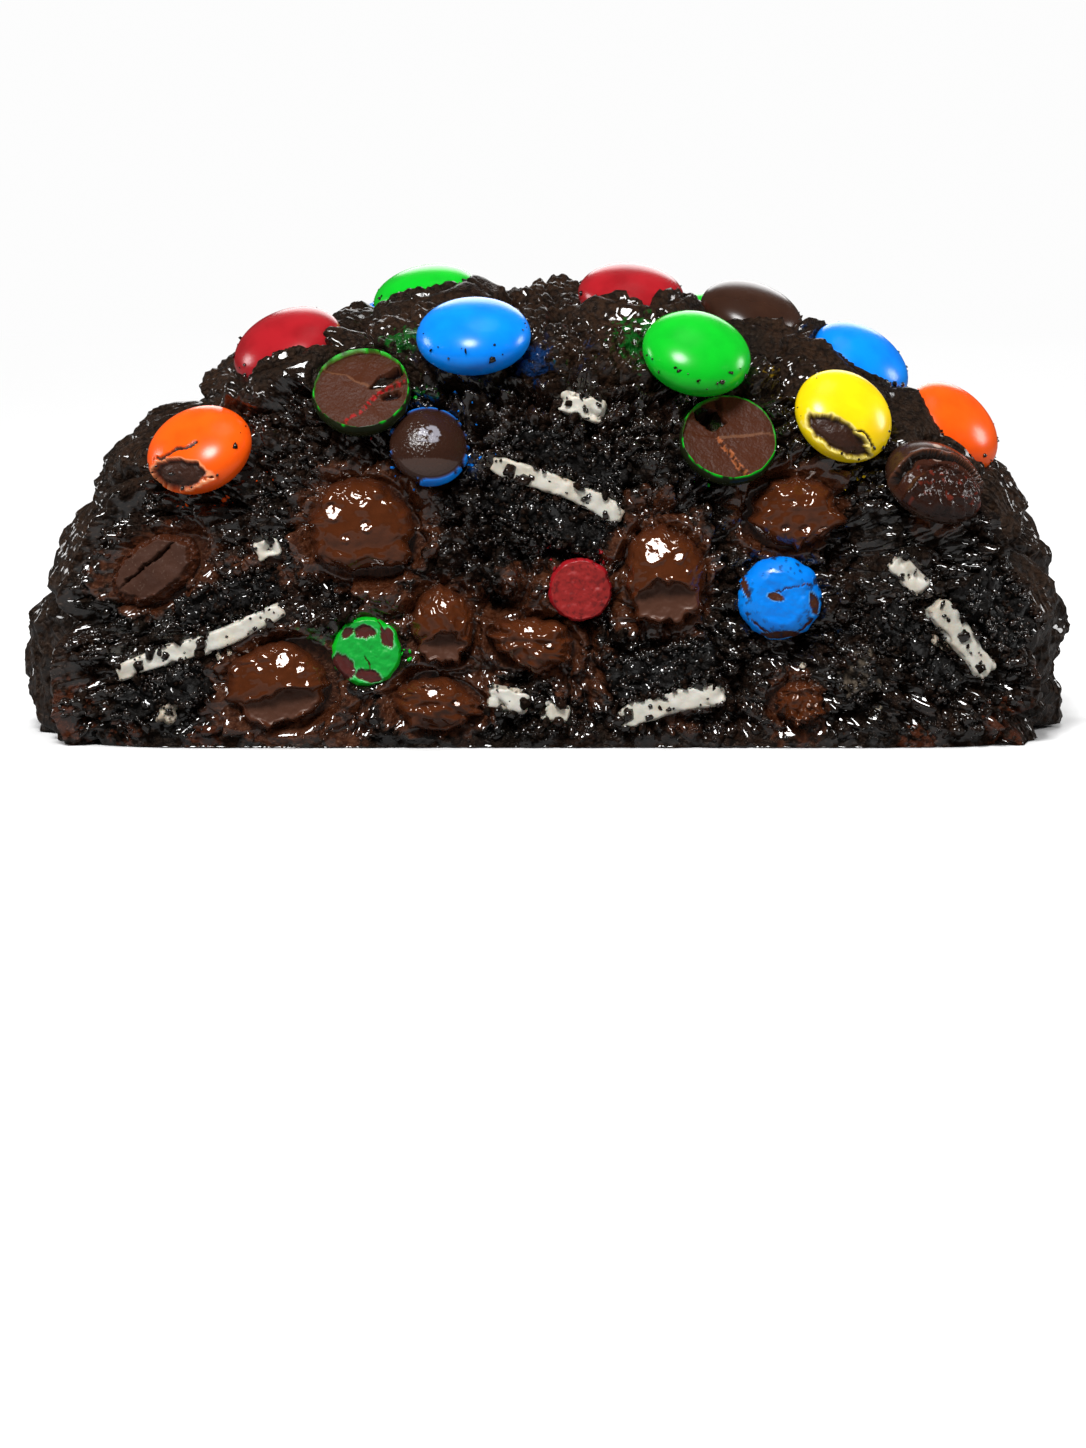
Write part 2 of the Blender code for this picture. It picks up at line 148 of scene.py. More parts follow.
def skinNormal(point):
    step = 0.2
    around = np.array([axis * side for axis in np.eye(3) * step for side in (1, -1)]) + point - core
    away = np.linalg.norm(around, axis=1)
    reach, _ = plainSkin(around / away[:, None])
    slope = (away - reach)[0::2] - (away - reach)[1::2]
    return slope / np.linalg.norm(slope)


def lumps(spot, spacing, height):
    nearest = noise.voronoi(spot / spacing)[0]
    rise = min(1.0, (nearest[1] - nearest[0]) / 0.5)
    return height * (rise * (2.0 - rise) - 0.55)


# The large relief, as in the solids
def largeRelief(spot, warped, crumb):
    crusty = lumps(warped, *form["crustLumps"]) + 0.8 * noise.fractal(spot / 5.0, 1.0, 2.0, 3)
    broken = 1.6 * noise.noise(spot / 24.0) + lumps(warped, *form["crumbLumps"])
    broken += lumps(spot, *form["smallLumps"])
    return crusty + (broken - crusty) * crumb


# Mesh helpers
def meshObject(name, points, triangles, material):
    points = np.clip(points, np.array(cadBox[0]) / mm, np.array(cadBox[1]) / mm)
    triangles = np.asarray(triangles, dtype=np.int32)
    mesh = bpy.data.meshes.new(name)
    mesh.vertices.add(len(points))
    mesh.vertices.foreach_set("co", (points * mm).astype(np.float32).ravel())
    mesh.loops.add(triangles.size)
    mesh.loops.foreach_set("vertex_index", triangles.ravel())
    mesh.polygons.add(len(triangles))
    mesh.polygons.foreach_set("loop_start", np.arange(0, triangles.size, 3, dtype=np.int32))
    mesh.update(calc_edges=True)
    mesh.validate()
    mesh.shade_smooth()
    mesh.materials.append(material)
    made = bpy.data.objects.new(name, mesh)
    scene.collection.objects.link(made)
    print(" ", name, len(triangles), "triangles")
    return made


def addMask(piece, name, values):
    layer = piece.data.attributes.new(name, "FLOAT", "POINT")
    layer.data.foreach_set("value", np.asarray(values, dtype=np.float32))


# A colour and how strongly it covers, as two layers of the mesh
def addTint(piece, name, colours):
    layer = piece.data.attributes.new(name, "FLOAT_COLOR", "POINT")
    layer.data.foreach_set("color", np.asarray(colours, dtype=np.float32).ravel())
    addMask(piece, name + "Share", colours[:, 3])


def keep(piece, slot, *nodes):
    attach(piece, "root")
    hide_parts(*nodes)
    return piece


def camel(name):
    first, *rest = name.split("_")
    return first + "".join(word.capitalize() for word in rest)


def unit(vector):
    return vector / np.linalg.norm(vector)


def units(vectors):
    return vectors / np.maximum(np.linalg.norm(vectors, axis=1), 1e-6)[:, None]


def pointsAndTriangles(shape):
    shape.verts.index_update()
    points = np.array([vert.co[:] for vert in shape.verts])
    triangles = np.array([[vert.index for vert in face.verts] for face in shape.faces])
    shape.free()
    return points, triangles


def noiseAt(points, size):
    return np.array([noise.noise(Vector(p) / size) for p in points])


def fractalAt(points, size, octaves=3):
    return np.array([noise.fractal(Vector(p) / size, 1.0, 2.0, octaves) for p in points])


def lumpsAt(points, spacing, height):
    return np.array([lumps(Vector(p), spacing, height) for p in points])


# A unit ball: its outer half, towards +z, can have more rings than the hidden one
def ballGrid(sides, outerRings, innerRings):
    outer = np.arange(1, outerRings + 1) / outerRings * math.pi / 2
    inner = math.pi / 2 + np.arange(1, innerRings) / innerRings * math.pi / 2
    tilt = np.concatenate((outer, inner))
    around = np.arange(sides) * 2.0 * math.pi / sides
    rings = [np.column_stack((math.sin(t) * np.cos(around), math.sin(t) * np.sin(around),
                              np.full(sides, math.cos(t)))) for t in tilt]
    points = np.concatenate([[(0.0, 0.0, 1.0)]] + rings + [[(0.0, 0.0, -1.0)]])
    here = np.arange(sides)
    following = (here + 1) % sides
    triangles = [np.column_stack((np.zeros(sides, int), 1 + here, 1 + following))]
    for row in range(len(tilt) - 1):
        a, b = 1 + row * sides + here, 1 + row * sides + following
        triangles += [np.column_stack((a, a + sides, b + sides)), np.column_stack((a, b + sides, b))]
    end = len(points) - 1
    last = end - sides
    triangles.append(np.column_stack((np.full(sides, end), last + following, last + here)))
    return points, np.concatenate(triangles)


# A box with its corners rounded off, cut finely along each direction
def boxGrid(half, step, rounding):
    block = bmesh.new()
    bmesh.ops.create_cube(block, size=2.0)
    for axis in range(3):
        along = [edge for edge in block.edges
                 if abs(edge.verts[0].co[axis] - edge.verts[1].co[axis]) > 1.0]
        cuts = max(1, int(2.0 * half[axis] / step[axis]))
        bmesh.ops.subdivide_edges(block, edges=along, cuts=cuts, use_grid_fill=True)
    bmesh.ops.triangulate(block, faces=block.faces)
    points, triangles = pointsAndTriangles(block)
    points = points * half
    inner = np.clip(points, rounding - half, half - rounding)
    normals = units(points - inner)
    return inner + normals * rounding, normals, triangles


# Where a node lies
def nodePoints(name):
    mesh = frame["nodes"][name].data
    points = np.empty(len(mesh.vertices) * 3)
    mesh.vertices.foreach_get("co", points)
    return np.unique(np.round(points.reshape(-1, 3) / mm, 3), axis=0)


# A sweet's centre, its three directions (right, up and out) and its half sizes
def lentilSeat(name):
    points = nodePoints(name)
    middle = points.mean(axis=0)
    _, ways = np.linalg.eigh(np.cov((points - middle).T))
    out = ways[:, 0]
    if out @ (middle - core) < 0.0:
        out = -out
    right = unit(np.cross((0.0, 0.0, 1.0), out)) if abs(out[2]) < 0.999 else np.array((1.0, 0.0, 0.0))
    if right[0] < 0.0:
        right = -right
    up = unit(np.cross(out, right))
    right = np.cross(up, out)
    ways = np.array((right, up, out))
    local = (points - middle) @ ways.T
    radius = np.abs(local[:, :2]).max()
    half = radius * form["lentilHeight"]
    centre = middle + out * (local[:, 2].min() + half)
    return {"centre": centre, "ways": ways, "half": np.array((radius, radius, half))}


def faceSeat(name, turn):
    points = nodePoints(name)
    middle = (points.max(axis=0) + points.min(axis=0)) / 2
    out = skinNormal(middle)
    along = np.array((math.cos(math.radians(turn)), 0.0, math.sin(math.radians(turn))))
    up = unit(np.cross(out, along))
    ways = np.array((np.cross(up, out), up, out))
    local = (points - middle) @ ways.T
    low, high = local.min(axis=0), local.max(axis=0)
    return {"centre": middle + (low + high) / 2 @ ways, "ways": ways, "half": (high - low) / 2}


def toWorld(seat, local):
    return seat["centre"] + local @ seat["ways"]


def toLocal(seat, points):
    return (points - seat["centre"]) @ seat["ways"].T


# How far out of a piece's rim each point lies: under 1 is inside the outline
def rimShare(name, points, grow=0.0):
    seat = seats[name]
    local = toLocal(seat, points)
    across = np.abs(local[:, 0]) / (seat["half"][0] + grow)
    upward = np.abs(local[:, 1]) / (seat["half"][1] + grow)
    share = np.maximum(across, upward) if name in slabs else np.hypot(across, upward)
    return np.where(np.abs(local[:, 2]) < seat["half"][2] + 9.0, share, 99.0), local


wholeSweets = [name for name in frame["nodes"] if name.startswith("sweet_")]
brokenSweets = ["torn_sweet_left", "torn_sweet_right", "peeled_sweet", "cracked_sweet"]
sunkSweets = ["sunk_sweet_red", "sunk_sweet_blue", "sunk_sweet_green"]
chocolates = {  # and how far each is turned in the face, in degrees
    "melt_upper_left": 0.0,
    "melt_centre": 0.0,
    "melt_upper_right": 8.0,
    "melt_lower_left": 0.0,
    "melt_middle": -14.0,
    "melt_low": -8.0,
    "chunk_left": 30.0,
    "chip_middle": 0.0,
    "chip_right": 0.0,
}
slabs = {
    "cream_centre": -23.0,
    "wafer_centre_upper": -23.0,
    "wafer_centre_lower": -22.0,
    "cream_left": 21.5,
    "wafer_left_upper": 20.0,
    "wafer_left_lower": 19.0,
    "cream_right_low": -48.0,
    "cream_right_high": -43.0,
    "wafer_right_inner": -47.0,
    "wafer_right_outer": -48.0,
    "cream_low": 15.0,
    "wafer_low_upper": 15.0,
    "wafer_bit": 30.0,
    "cream_bit_top": -14.0,
    "cream_bit_low": -12.0,
    "cream_bit_foot": -14.0,
    "cream_bit_left": 20.0,
}
seats = {name: lentilSeat(name) for name in wholeSweets + brokenSweets + sunkSweets}
seats.update({name: faceSeat(name, turn) for name, turn in {**chocolates, **slabs}.items()})
print("seats found:", len(seats))


# Node helpers
def newGroup(name, inputs, outputs):
    group = bpy.data.node_groups.new(name, "ShaderNodeTree")
    for label, value in inputs.items():
        socket = group.interface.new_socket(name=label, in_out="INPUT", socket_type="NodeSocketFloat")
        socket.default_value = value
    for label in outputs:
        kind = "NodeSocketColor" if label == "Color" else "NodeSocketFloat"
        group.interface.new_socket(name=label, in_out="OUTPUT", socket_type=kind)
    return group, group.nodes.new("NodeGroupInput").outputs, group.nodes.new("NodeGroupOutput").inputs


def feed(tree, socket, value):
    if isinstance(value, (int, float)):
        socket.default_value = value
    elif isinstance(value, tuple):
        socket.default_value = (*value, 1.0)
    else:
        tree.links.new(value, socket)


def texture(tree, kind, where, scale, **settings):
    node = tree.nodes.new(kind)
    tree.links.new(where, node.inputs["Vector"])
    feed(tree, node.inputs["Scale"], scale)
    for name, value in settings.items():
        node.inputs[name].default_value = value
    return node


def calculate(tree, operation, first, second=0.0):
    node = tree.nodes.new("ShaderNodeMath")
    node.operation = operation
    feed(tree, node.inputs[0], first)
    feed(tree, node.inputs[1], second)
    return node.outputs[0]


def times(tree, first, second):
    return calculate(tree, "MULTIPLY", first, second)


def plus(tree, first, second):
    return calculate(tree, "ADD", first, second)


def mixColour(tree, share, one, other):
    node = tree.nodes.new("ShaderNodeMix")
    node.data_type = "RGBA"
    feed(tree, node.inputs[0], share)
    feed(tree, node.inputs[6], one)
    feed(tree, node.inputs[7], other)
    return node.outputs[2]


# Lays colours over one another, each as far as its mask says
def layered(tree, colour, *layers):
    for share, over in layers:
        colour = mixColour(tree, share, colour, over)
    return colour


def remap(tree, value, low, high, toLow=0.0, toHigh=1.0):
    node = tree.nodes.new("ShaderNodeMapRange")
    for label, number in (("From Min", low), ("From Max", high), ("To Min", toLow), ("To Max", toHigh)):
        feed(tree, node.inputs[label], number)
    tree.links.new(value, node.inputs["Value"])
    return node.outputs["Result"]


def objectPlace(tree):
    return tree.nodes.new("ShaderNodeTexCoord").outputs["Object"]


def perMm(tree, size):
    return calculate(tree, "DIVIDE", 1.0 / mm, size)


# Grain of baked or broken things: a height, its hollows and slow patches, with sizes in millimetres
def makeGrainGroup():
    group, given, put = newGroup(
        "bakedGrain", {"Grain Size": 0.8, "Grit Size": 0.25, "Grit": 0.4, "Patch Size": 8.0},
        ("Height", "Hollows", "Patches"))
    where = objectPlace(group)
    grain = group.nodes.new("ShaderNodeTexVoronoi")
    grain.feature = "SMOOTH_F1"
    grain.inputs["Smoothness"].default_value = 0.4
    group.links.new(where, grain.inputs["Vector"])
    group.links.new(perMm(group, given["Grain Size"]), grain.inputs["Scale"])
    grit = texture(group, "ShaderNodeTexNoise", where, perMm(group, given["Grit Size"]), Detail=2.0)
    patches = texture(group, "ShaderNodeTexNoise", where, perMm(group, given["Patch Size"]), Detail=4.0)
    domes = calculate(group, "SUBTRACT", 1.0, grain.outputs["Distance"])
    rough = times(group, grit.outputs["Fac"], given["Grit"])
    group.links.new(plus(group, domes, rough), put["Height"])
    group.links.new(remap(group, grain.outputs["Distance"], 0.35, 0.75), put["Hollows"])
    group.links.new(remap(group, patches.outputs["Fac"], 0.38, 0.66), put["Patches"])
    return group


# Breaks up the edge of a painted mask, so that smears and stains end raggedly
def makeRaggedGroup():
    group, given, put = newGroup("raggedMask", {"Mask": 0.0, "Size": 1.5, "Raggedness": 0.6}, ("Mask",))
    cloud = texture(group, "ShaderNodeTexNoise", objectPlace(group), perMm(group, given["Size"]), Detail=4.0)
    shift = times(group, calculate(group, "SUBTRACT", cloud.outputs["Fac"], 0.5), given["Raggedness"])
    edge = plus(group, given["Mask"], times(group, shift, 2.0))
    group.links.new(remap(group, edge, 0.38, 0.62), put["Mask"])
    return group


# Fat or melted sugar on a surface: 1 where it is wet, and its small beads
def makeWetGroup():
    group, given, put = newGroup(
        "wetFilm", {"Film Size": 2.5, "Bead Size": 0.5, "Amount": 0.5}, ("Wet", "Beads"))
    where = objectPlace(group)
    film = texture(group, "ShaderNodeTexNoise", where, perMm(group, given["Film Size"]), Detail=3.0)
    beads = texture(group, "ShaderNodeTexNoise", where, perMm(group, given["Bead Size"]), Detail=1.0)
    level = calculate(group, "SUBTRACT", 1.0, given["Amount"])
    over = calculate(group, "SUBTRACT", film.outputs["Fac"], times(group, level, 0.5))
    group.links.new(remap(group, over, 0.2, 0.32), put["Wet"])
    group.links.new(beads.outputs["Fac"], put["Beads"])
    return group


chocolateLook = {
    "dark": (0.036, 0.0165, 0.011),
    "plain": (0.058, 0.027, 0.018),
    "warm": (0.086, 0.0195, 0.0042),
    "bloom": (0.20, 0.135, 0.10),
    "granular": (0.060, 0.017, 0.007),
    "meltedFacet": (0.080, 0.026, 0.012),
    "meltedRim": (0.052, 0.014, 0.006),
    "meltedTint": (1.0, 0.86, 0.78),
    "meltedIndex": 1.55,
    "meltedRoughness": (0.08, 0.5),  # where it ran and where it broke
    "brokenRoughness": (0.5, 0.25),  # on the flat and on the granular rim
    "brokenSheen": 0.22,
    "bump": 0.12,
}


# Body of the chocolate, where a shell is off or a piece is broken
def makeChocolateGroup():
    group, given, put = newGroup("chocolateBody", {"Warmth": 0.5, "Bloom": 0.2}, ("Color", "Height"))
    where = objectPlace(group)
    cloud = texture(group, "ShaderNodeTexNoise", where, 0.35 / mm, Detail=5.0)
    specks = texture(group, "ShaderNodeTexNoise", where, 3.2 / mm, Detail=2.0)
    pale = times(group, remap(group, specks.outputs["Fac"], 0.62, 0.72), given["Bloom"])
    colour = layered(
        group, chocolateLook["dark"],
        (remap(group, cloud.outputs["Fac"], 0.35, 0.65), chocolateLook["plain"]),
        (given["Warmth"], chocolateLook["warm"]),
        (pale, chocolateLook["bloom"]))
    group.links.new(colour, put["Color"])
    group.links.new(plus(group, specks.outputs["Fac"], cloud.outputs["Fac"]), put["Height"])
    return group


grainGroup = makeGrainGroup()
raggedGroup = makeRaggedGroup()
wetGroup = makeWetGroup()
chocolateGroup = makeChocolateGroup()


def place(tree, group, **values):
    node = tree.nodes.new("ShaderNodeGroup")
    node.node_tree = group
    for name, value in values.items():
        label = "".join(" " + letter if letter.isupper() else letter for letter in name).title()
        feed(tree, node.inputs[label], value)
    return node.outputs


def newMaterial(name):
    material = bpy.data.materials.new(name)
    material.use_nodes = True
    return material, material.node_tree


def maskOf(tree, name, output="Fac"):
    node = tree.nodes.new("ShaderNodeAttribute")
    node.attribute_name = name
    return node.outputs[output]


# Sets or links the sockets of a material's shader, and adds a bump of a distance in millimetres
def dress(material, values, height=None, distance=0.0):
    tree = material.node_tree
    sockets = tree.nodes["Principled BSDF"].inputs
    for label, value in values.items():
        feed(tree, sockets[label], value)
    if height is not None:
        bump = tree.nodes.new("ShaderNodeBump")
        tree.links.new(height, bump.inputs["Height"])
        bump.inputs["Distance"].default_value = distance * mm
        tree.links.new(bump.outputs["Normal"], sockets["Normal"])
    return material


doughLook = {
    "crust": (0.0115, 0.0066, 0.0042),
    "crustBrown": (0.027, 0.0125, 0.0064),
    "crumb": (0.0056, 0.0034, 0.0023),
    "crumbBrown": (0.0185, 0.0074, 0.0040),
    # painted shade: near black laid into the hollows between the grains
    "hollow": (0.0012, 0.0009, 0.0008),
    "smear": (0.046, 0.0115, 0.0038),
    "smearPale": (0.080, 0.026, 0.011),
    "dryRoughness": 0.55,
    "wetRoughness": 0.30,
    "sheen": 0.13,
    "sheenTint": (1.0, 0.74, 0.58),
    "film": 1.0,
    "filmRoughness": 0.055,
    "filmIndex": 1.78,
    "crustFilm": 0.5,
    "ridgeSpacing": 0.65,
    "ridgeHeight": 1.5,
    # painted highlight: pale brown along the crests of the side ridges
    "ridgeTop": (0.060, 0.040, 0.030),
    "bump": 0.22,
}


# A dry surface with a glossy film on it
def filmed(film):
    return {"Coat Weight": film, "Coat Roughness": doughLook["filmRoughness"],
            "Coat IOR": doughLook["filmIndex"], "Specular IOR Level": doughLook["sheen"]}


def makeDoughMaterial():
    material, tree = newMaterial("dough")
    grain = place(tree, grainGroup, grainSize=0.62, gritSize=0.2, grit=0.5, patchSize=9.0)
    wet = place(tree, wetGroup, filmSize=1.7, beadSize=0.36, amount=0.58)
    smear = place(tree, raggedGroup, mask=maskOf(tree, "smear"), size=1.4, raggedness=0.7)["Mask"]
    crust = mixColour(tree, grain["Patches"], doughLook["crust"], doughLook["crustBrown"])
    inside = mixColour(tree, grain["Patches"], doughLook["crumb"], doughLook["crumbBrown"])
    melted = mixColour(tree, grain["Hollows"], doughLook["smear"], doughLook["smearPale"])
    turns = times(tree, maskOf(tree, "around"), math.pi / doughLook["ridgeSpacing"])
    wave = calculate(tree, "SUBTRACT", 1.0, calculate(tree, "ABSOLUTE", calculate(tree, "SINE", turns)))
    crest = times(tree, calculate(tree, "POWER", wave, 2.0), maskOf(tree, "wrinkled"))
    crest = times(tree, crest, remap(tree, grain["Patches"], 0.25, 0.75, 0.15, 1.0))
    stain = place(tree, raggedGroup, mask=maskOf(tree, "stainShare"), size=0.9, raggedness=1.1)["Mask"]
    colour = layered(
        tree, crust,
        (maskOf(tree, "crumb"), inside),
        # painted shade in the hollows between the grains
        (times(tree, grain["Hollows"], 0.8), doughLook["hollow"]),
        (smear, melted),
        # painted highlight along the ridge crests
        (times(tree, crest, 0.6), doughLook["ridgeTop"]),
        (stain, maskOf(tree, "stain", "Color")))
    thick = remap(tree, maskOf(tree, "crumb"), 0.0, 1.0, doughLook["crustFilm"], doughLook["film"])
    film = calculate(tree, "MAXIMUM", times(tree, wet["Wet"], thick), times(tree, smear, 0.85))
    rough = remap(tree, film, 0.0, 1.0, doughLook["dryRoughness"], doughLook["wetRoughness"])
    height = plus(tree, grain["Height"], times(tree, wet["Beads"], 1.1))
    ridges = times(tree, crest, doughLook["ridgeHeight"])
    values = {"Base Color": colour, "Roughness": rough, "Specular Tint": doughLook["sheenTint"]}
    return dress(material, {**values, **filmed(film)}, plus(tree, height, ridges), doughLook["bump"])


waferLook = {
    "colour": (0.0048, 0.0042, 0.0040),
    "worn": (0.0085, 0.0070, 0.0062),
    "pale": (0.15, 0.115, 0.082),
    "roughness": 0.5,
    "bump": 0.18,
}


def makeWaferMaterial():
    material, tree = newMaterial("blackBiscuit")
    grain = place(tree, grainGroup, grainSize=0.5, gritSize=0.16, grit=0.7, patchSize=2.5)
    wet = place(tree, wetGroup, filmSize=1.7, beadSize=0.4, amount=0.40)
    colour = layered(tree, waferLook["colour"], (grain["Patches"], waferLook["worn"]),
                     (maskOf(tree, "pale"), waferLook["pale"]))
    values = {"Base Color": colour, "Roughness": waferLook["roughness"]}
    return dress(material, {**values, **filmed(wet["Wet"])}, grain["Height"], waferLook["bump"])


creamLook = {
    "colour": (0.68, 0.66, 0.59),
    "patches": (0.60, 0.55, 0.45),
    "soaked": (0.33, 0.235, 0.145),
    "dust": (0.022, 0.013, 0.009),
    "roughness": (0.42, 0.3),  # of the cream and of the dust on it
    "seeThrough": 0.12,
    "depth": 0.8,  # how deep light goes into it, in millimetres
    "bump": 0.08,
}


def makeCreamMaterial():
    material, tree = newMaterial("sugarCream")
    grain = place(tree, grainGroup, grainSize=1.1, gritSize=0.25, grit=0.3, patchSize=2.2)
    dust = place(tree, raggedGroup, mask=maskOf(tree, "dust"), size=0.7, raggedness=0.8)["Mask"]
    colour = layered(tree, creamLook["colour"], (grain["Patches"], creamLook["patches"]),
                     (maskOf(tree, "soak"), creamLook["soaked"]), (dust, creamLook["dust"]))
    values = {"Base Color": colour, "Roughness": remap(tree, dust, 0.0, 1.0, *creamLook["roughness"]),
              "Subsurface Weight": creamLook["seeThrough"], "Subsurface Scale": creamLook["depth"] * mm}
    height = plus(tree, grain["Height"], times(tree, dust, 2.0))
    return dress(material, values, height, creamLook["bump"])


def makeMeltMaterial():
    material, tree = newMaterial("meltedChocolate")
    body = place(tree, chocolateGroup, warmth=0.85, bloom=0.0)
    facet = place(tree, chocolateGroup, warmth=0.6, bloom=0.3)
    wet = place(tree, wetGroup, filmSize=3.0, beadSize=0.9, amount=0.5)
    matt = maskOf(tree, "matt")
    flat = mixColour(tree, 0.6, facet["Color"], chocolateLook["meltedFacet"])
    colour = layered(tree, body["Color"], (matt, flat), (maskOf(tree, "rim"), chocolateLook["meltedRim"]))
    rough = remap(tree, matt, 0.0, 1.0, *chocolateLook["meltedRoughness"])
    values = {"Base Color": colour, "Roughness": rough, "IOR": chocolateLook["meltedIndex"],
              "Specular Tint": chocolateLook["meltedTint"]}
    height = plus(tree, wet["Beads"], times(tree, facet["Height"], 0.08))
    return dress(material, values, height, chocolateLook["bump"])


def makeChocolateMaterial():
    material, tree = newMaterial("brokenChocolate")
    body = place(tree, chocolateGroup, warmth=0.2, bloom=0.3)
    grain = place(tree, grainGroup, grainSize=0.6, gritSize=0.2, grit=0.6, patchSize=3.0)
    granular = maskOf(tree, "rim")
    rough = remap(tree, granular, 0.0, 1.0, *chocolateLook["brokenRoughness"])
    values = {"Base Color": mixColour(tree, granular, body["Color"], chocolateLook["granular"]),
              "Roughness": rough, "Specular IOR Level": chocolateLook["brokenSheen"]}
    height = plus(tree, times(tree, grain["Height"], granular), times(tree, body["Height"], 0.25))
    return dress(material, values, height, chocolateLook["bump"])


shellFinish = {
    "roughness": 0.24,
    "bareRougher": 0.16,
    "scuffRougher": 0.2,
    "sheen": 0.36,
    "bump": 0.09,
}


# A sugar shell. Masks show where it is off, its broken edge, an overlay of other colours and scuffs. The
# overlay holds real streaks and stains, and on the broken sweets painted shade, painted highlights, painted
# glints and a painted reflection
def makeShellMaterial(name, look):
    material, tree = newMaterial(name)
    grain = place(tree, grainGroup, grainSize=3.2, gritSize=0.8, grit=0.2, patchSize=3.5)
    body = place(tree, chocolateGroup, warmth=0.75, bloom=0.25)
    inside = maskOf(tree, "inside")
    scuff = maskOf(tree, "scuff")
    colour = layered(
        tree, look["colour"],
        (grain["Patches"], look["deep"]),
        (scuff, look["scuff"]),
        (inside, body["Color"]),
        (maskOf(tree, "edge"), look["edge"]),
        (maskOf(tree, "streakShare"), maskOf(tree, "streak", "Color")))
    rough = plus(tree, shellFinish["roughness"], times(tree, inside, shellFinish["bareRougher"]))
    rough = plus(tree, rough, times(tree, scuff, shellFinish["scuffRougher"]))
    values = {"Base Color": colour, "Roughness": calculate(tree, "SUBTRACT", rough, maskOf(tree, "gloss")),
              "Specular IOR Level": look.get("sheen", shellFinish["sheen"])}
    height = plus(tree, times(tree, grain["Height"], 0.12), times(tree, body["Height"], inside))
    return dress(material, values, height, shellFinish["bump"])


shellLooks = {
    "red_shell": {"colour": (0.36, 0.0105, 0.016), "deep": (0.27, 0.007, 0.011),
                  "scuff": (0.29, 0.017, 0.015), "edge": (0.62, 0.09, 0.07)},
    "green_shell": {"colour": (0.0035, 0.50, 0.018), "deep": (0.003, 0.42, 0.016),
                    "scuff": (0.004, 0.37, 0.045), "edge": (0.14, 0.62, 0.24)},
    "blue_shell": {"colour": (0.0012, 0.245, 0.90), "deep": (0.001, 0.195, 0.80),
                   "scuff": (0.001, 0.23, 0.76), "edge": (0.10, 0.42, 0.90)},
    "orange_shell": {"colour": (0.93, 0.105, 0.004), "deep": (0.86, 0.080, 0.003),
                     "scuff": (0.80, 0.12, 0.02), "edge": (0.95, 0.35, 0.16)},
    "yellow_shell": {"colour": (0.94, 0.70, 0.004), "deep": (0.90, 0.60, 0.003),
                     "scuff": (0.70, 0.50, 0.02), "edge": (0.97, 0.80, 0.22)},
    "brown_shell": {"colour": (0.040, 0.0165, 0.0095), "deep": (0.030, 0.012, 0.007),
                    "scuff": (0.05, 0.026, 0.018), "edge": (0.17, 0.062, 0.034)},
}
materials = {
    "dough": makeDoughMaterial(),
    "wafer": makeWaferMaterial(),
    "cream": makeCreamMaterial(),
    "melted_chocolate": makeMeltMaterial(),
    "chocolate": makeChocolateMaterial(),
}
materials.update({slot: makeShellMaterial(camel(slot), look) for slot, look in shellLooks.items()})
materials["torn_shell"] = makeShellMaterial("tornShell", {**shellLooks["green_shell"], "sheen": 0.10})
print("materials made:", len(materials))


# Distance over the broken face as seen from the front
def faceDistance(points, x, z):
    return np.hypot(points[:, 0] - x, points[:, 2] - z)


# Melted chocolate and colour on the dough
smears = {
    "reach": 1.9,  # of a melt's own outline
    "melted": 0.95,  # how strong round melted chocolate, round broken chocolate and at each spot
    "broken": 0.7,
    "spot": 0.62,
    "spots": [  # x, z and radius on the broken face
        (-1.5, 17.0, 7.5), (4.0, 8.5, 6.5), (-9.0, 8.0, 6.0), (-33.0, 20.0, 5.0), (12.0, 27.0, 5.0),
        (-18.5, 16.5, 5.5), (29.0, 3.5, 6.0), (-24.0, 3.0, 6.0), (45.0, 26.5, 3.5), (-16.0, 31.0, 4.5),
        (16.0, 4.0, 4.0),
    ],
}
stainStrength = 0.72
stains = {  # colour, and x, y, z and radius of each stain
    "green": ((0.0015, 0.075, 0.007), [(11.8, -14.0, 47.5, 4.2), (-16.5, -12.0, 48.0, 3.6),
                                       (-14.0, -19.0, 40.5, 2.6), (17.5, -20.5, 30.2, 1.6),
                                       (-27.5, -20.5, 12.0, 2.4)]),
    "yellow": ((0.20, 0.115, 0.002), [(27.2, -16.0, 43.5, 2.9), (34.0, -20.5, 31.5, 1.3)]),
    "blue": ((0.002, 0.022, 0.085), [(-2.2, -16.0, 44.6, 2.8), (-9.0, -20.5, 32.0, 2.6),
                                     (26.7, -20.5, 22.8, 2.6)]),
    "red": ((0.13, 0.004, 0.004), [(3.7, -20.5, 22.0, 2.2), (-19.0, -19.5, 38.0, 1.8),
                                   (7.0, -20.5, 16.5, 1.6)]),
    "brown": ((0.055, 0.013, 0.0045), [(-56.0, -18.0, 3.5, 4.5), (-49.0, -21.0, 1.5, 3.0),
                                       (-40.0, -21.0, 1.0, 2.5), (54.0, -19.0, 2.5, 4.0),
                                       (43.0, -21.0, 1.0, 3.0), (59.0, -15.0, 9.0, 3.0),
                                       (-44.0, -20.5, 20.0, 3.0)]),
    "orange": ((0.42, 0.075, 0.006), [(-40.5, -20.0, 28.6, 1.6), (-34.5, -20.0, 32.0, 1.2)]),
}


def smearAt(points):
    smear = np.zeros(len(points))
    for name in chocolates:
        share, _ = rimShare(name, points)
        strength = smears["melted" if name.startswith("melt") else "broken"]
        smear = np.maximum(smear, strength * smoothStep(smears["reach"], 1.0, share))
    for x, z, radius in smears["spots"]:
        away = faceDistance(points, x, z) / radius
        smear = np.maximum(smear, smears["spot"] * smoothStep(1.25, 0.3, away))
    return smear


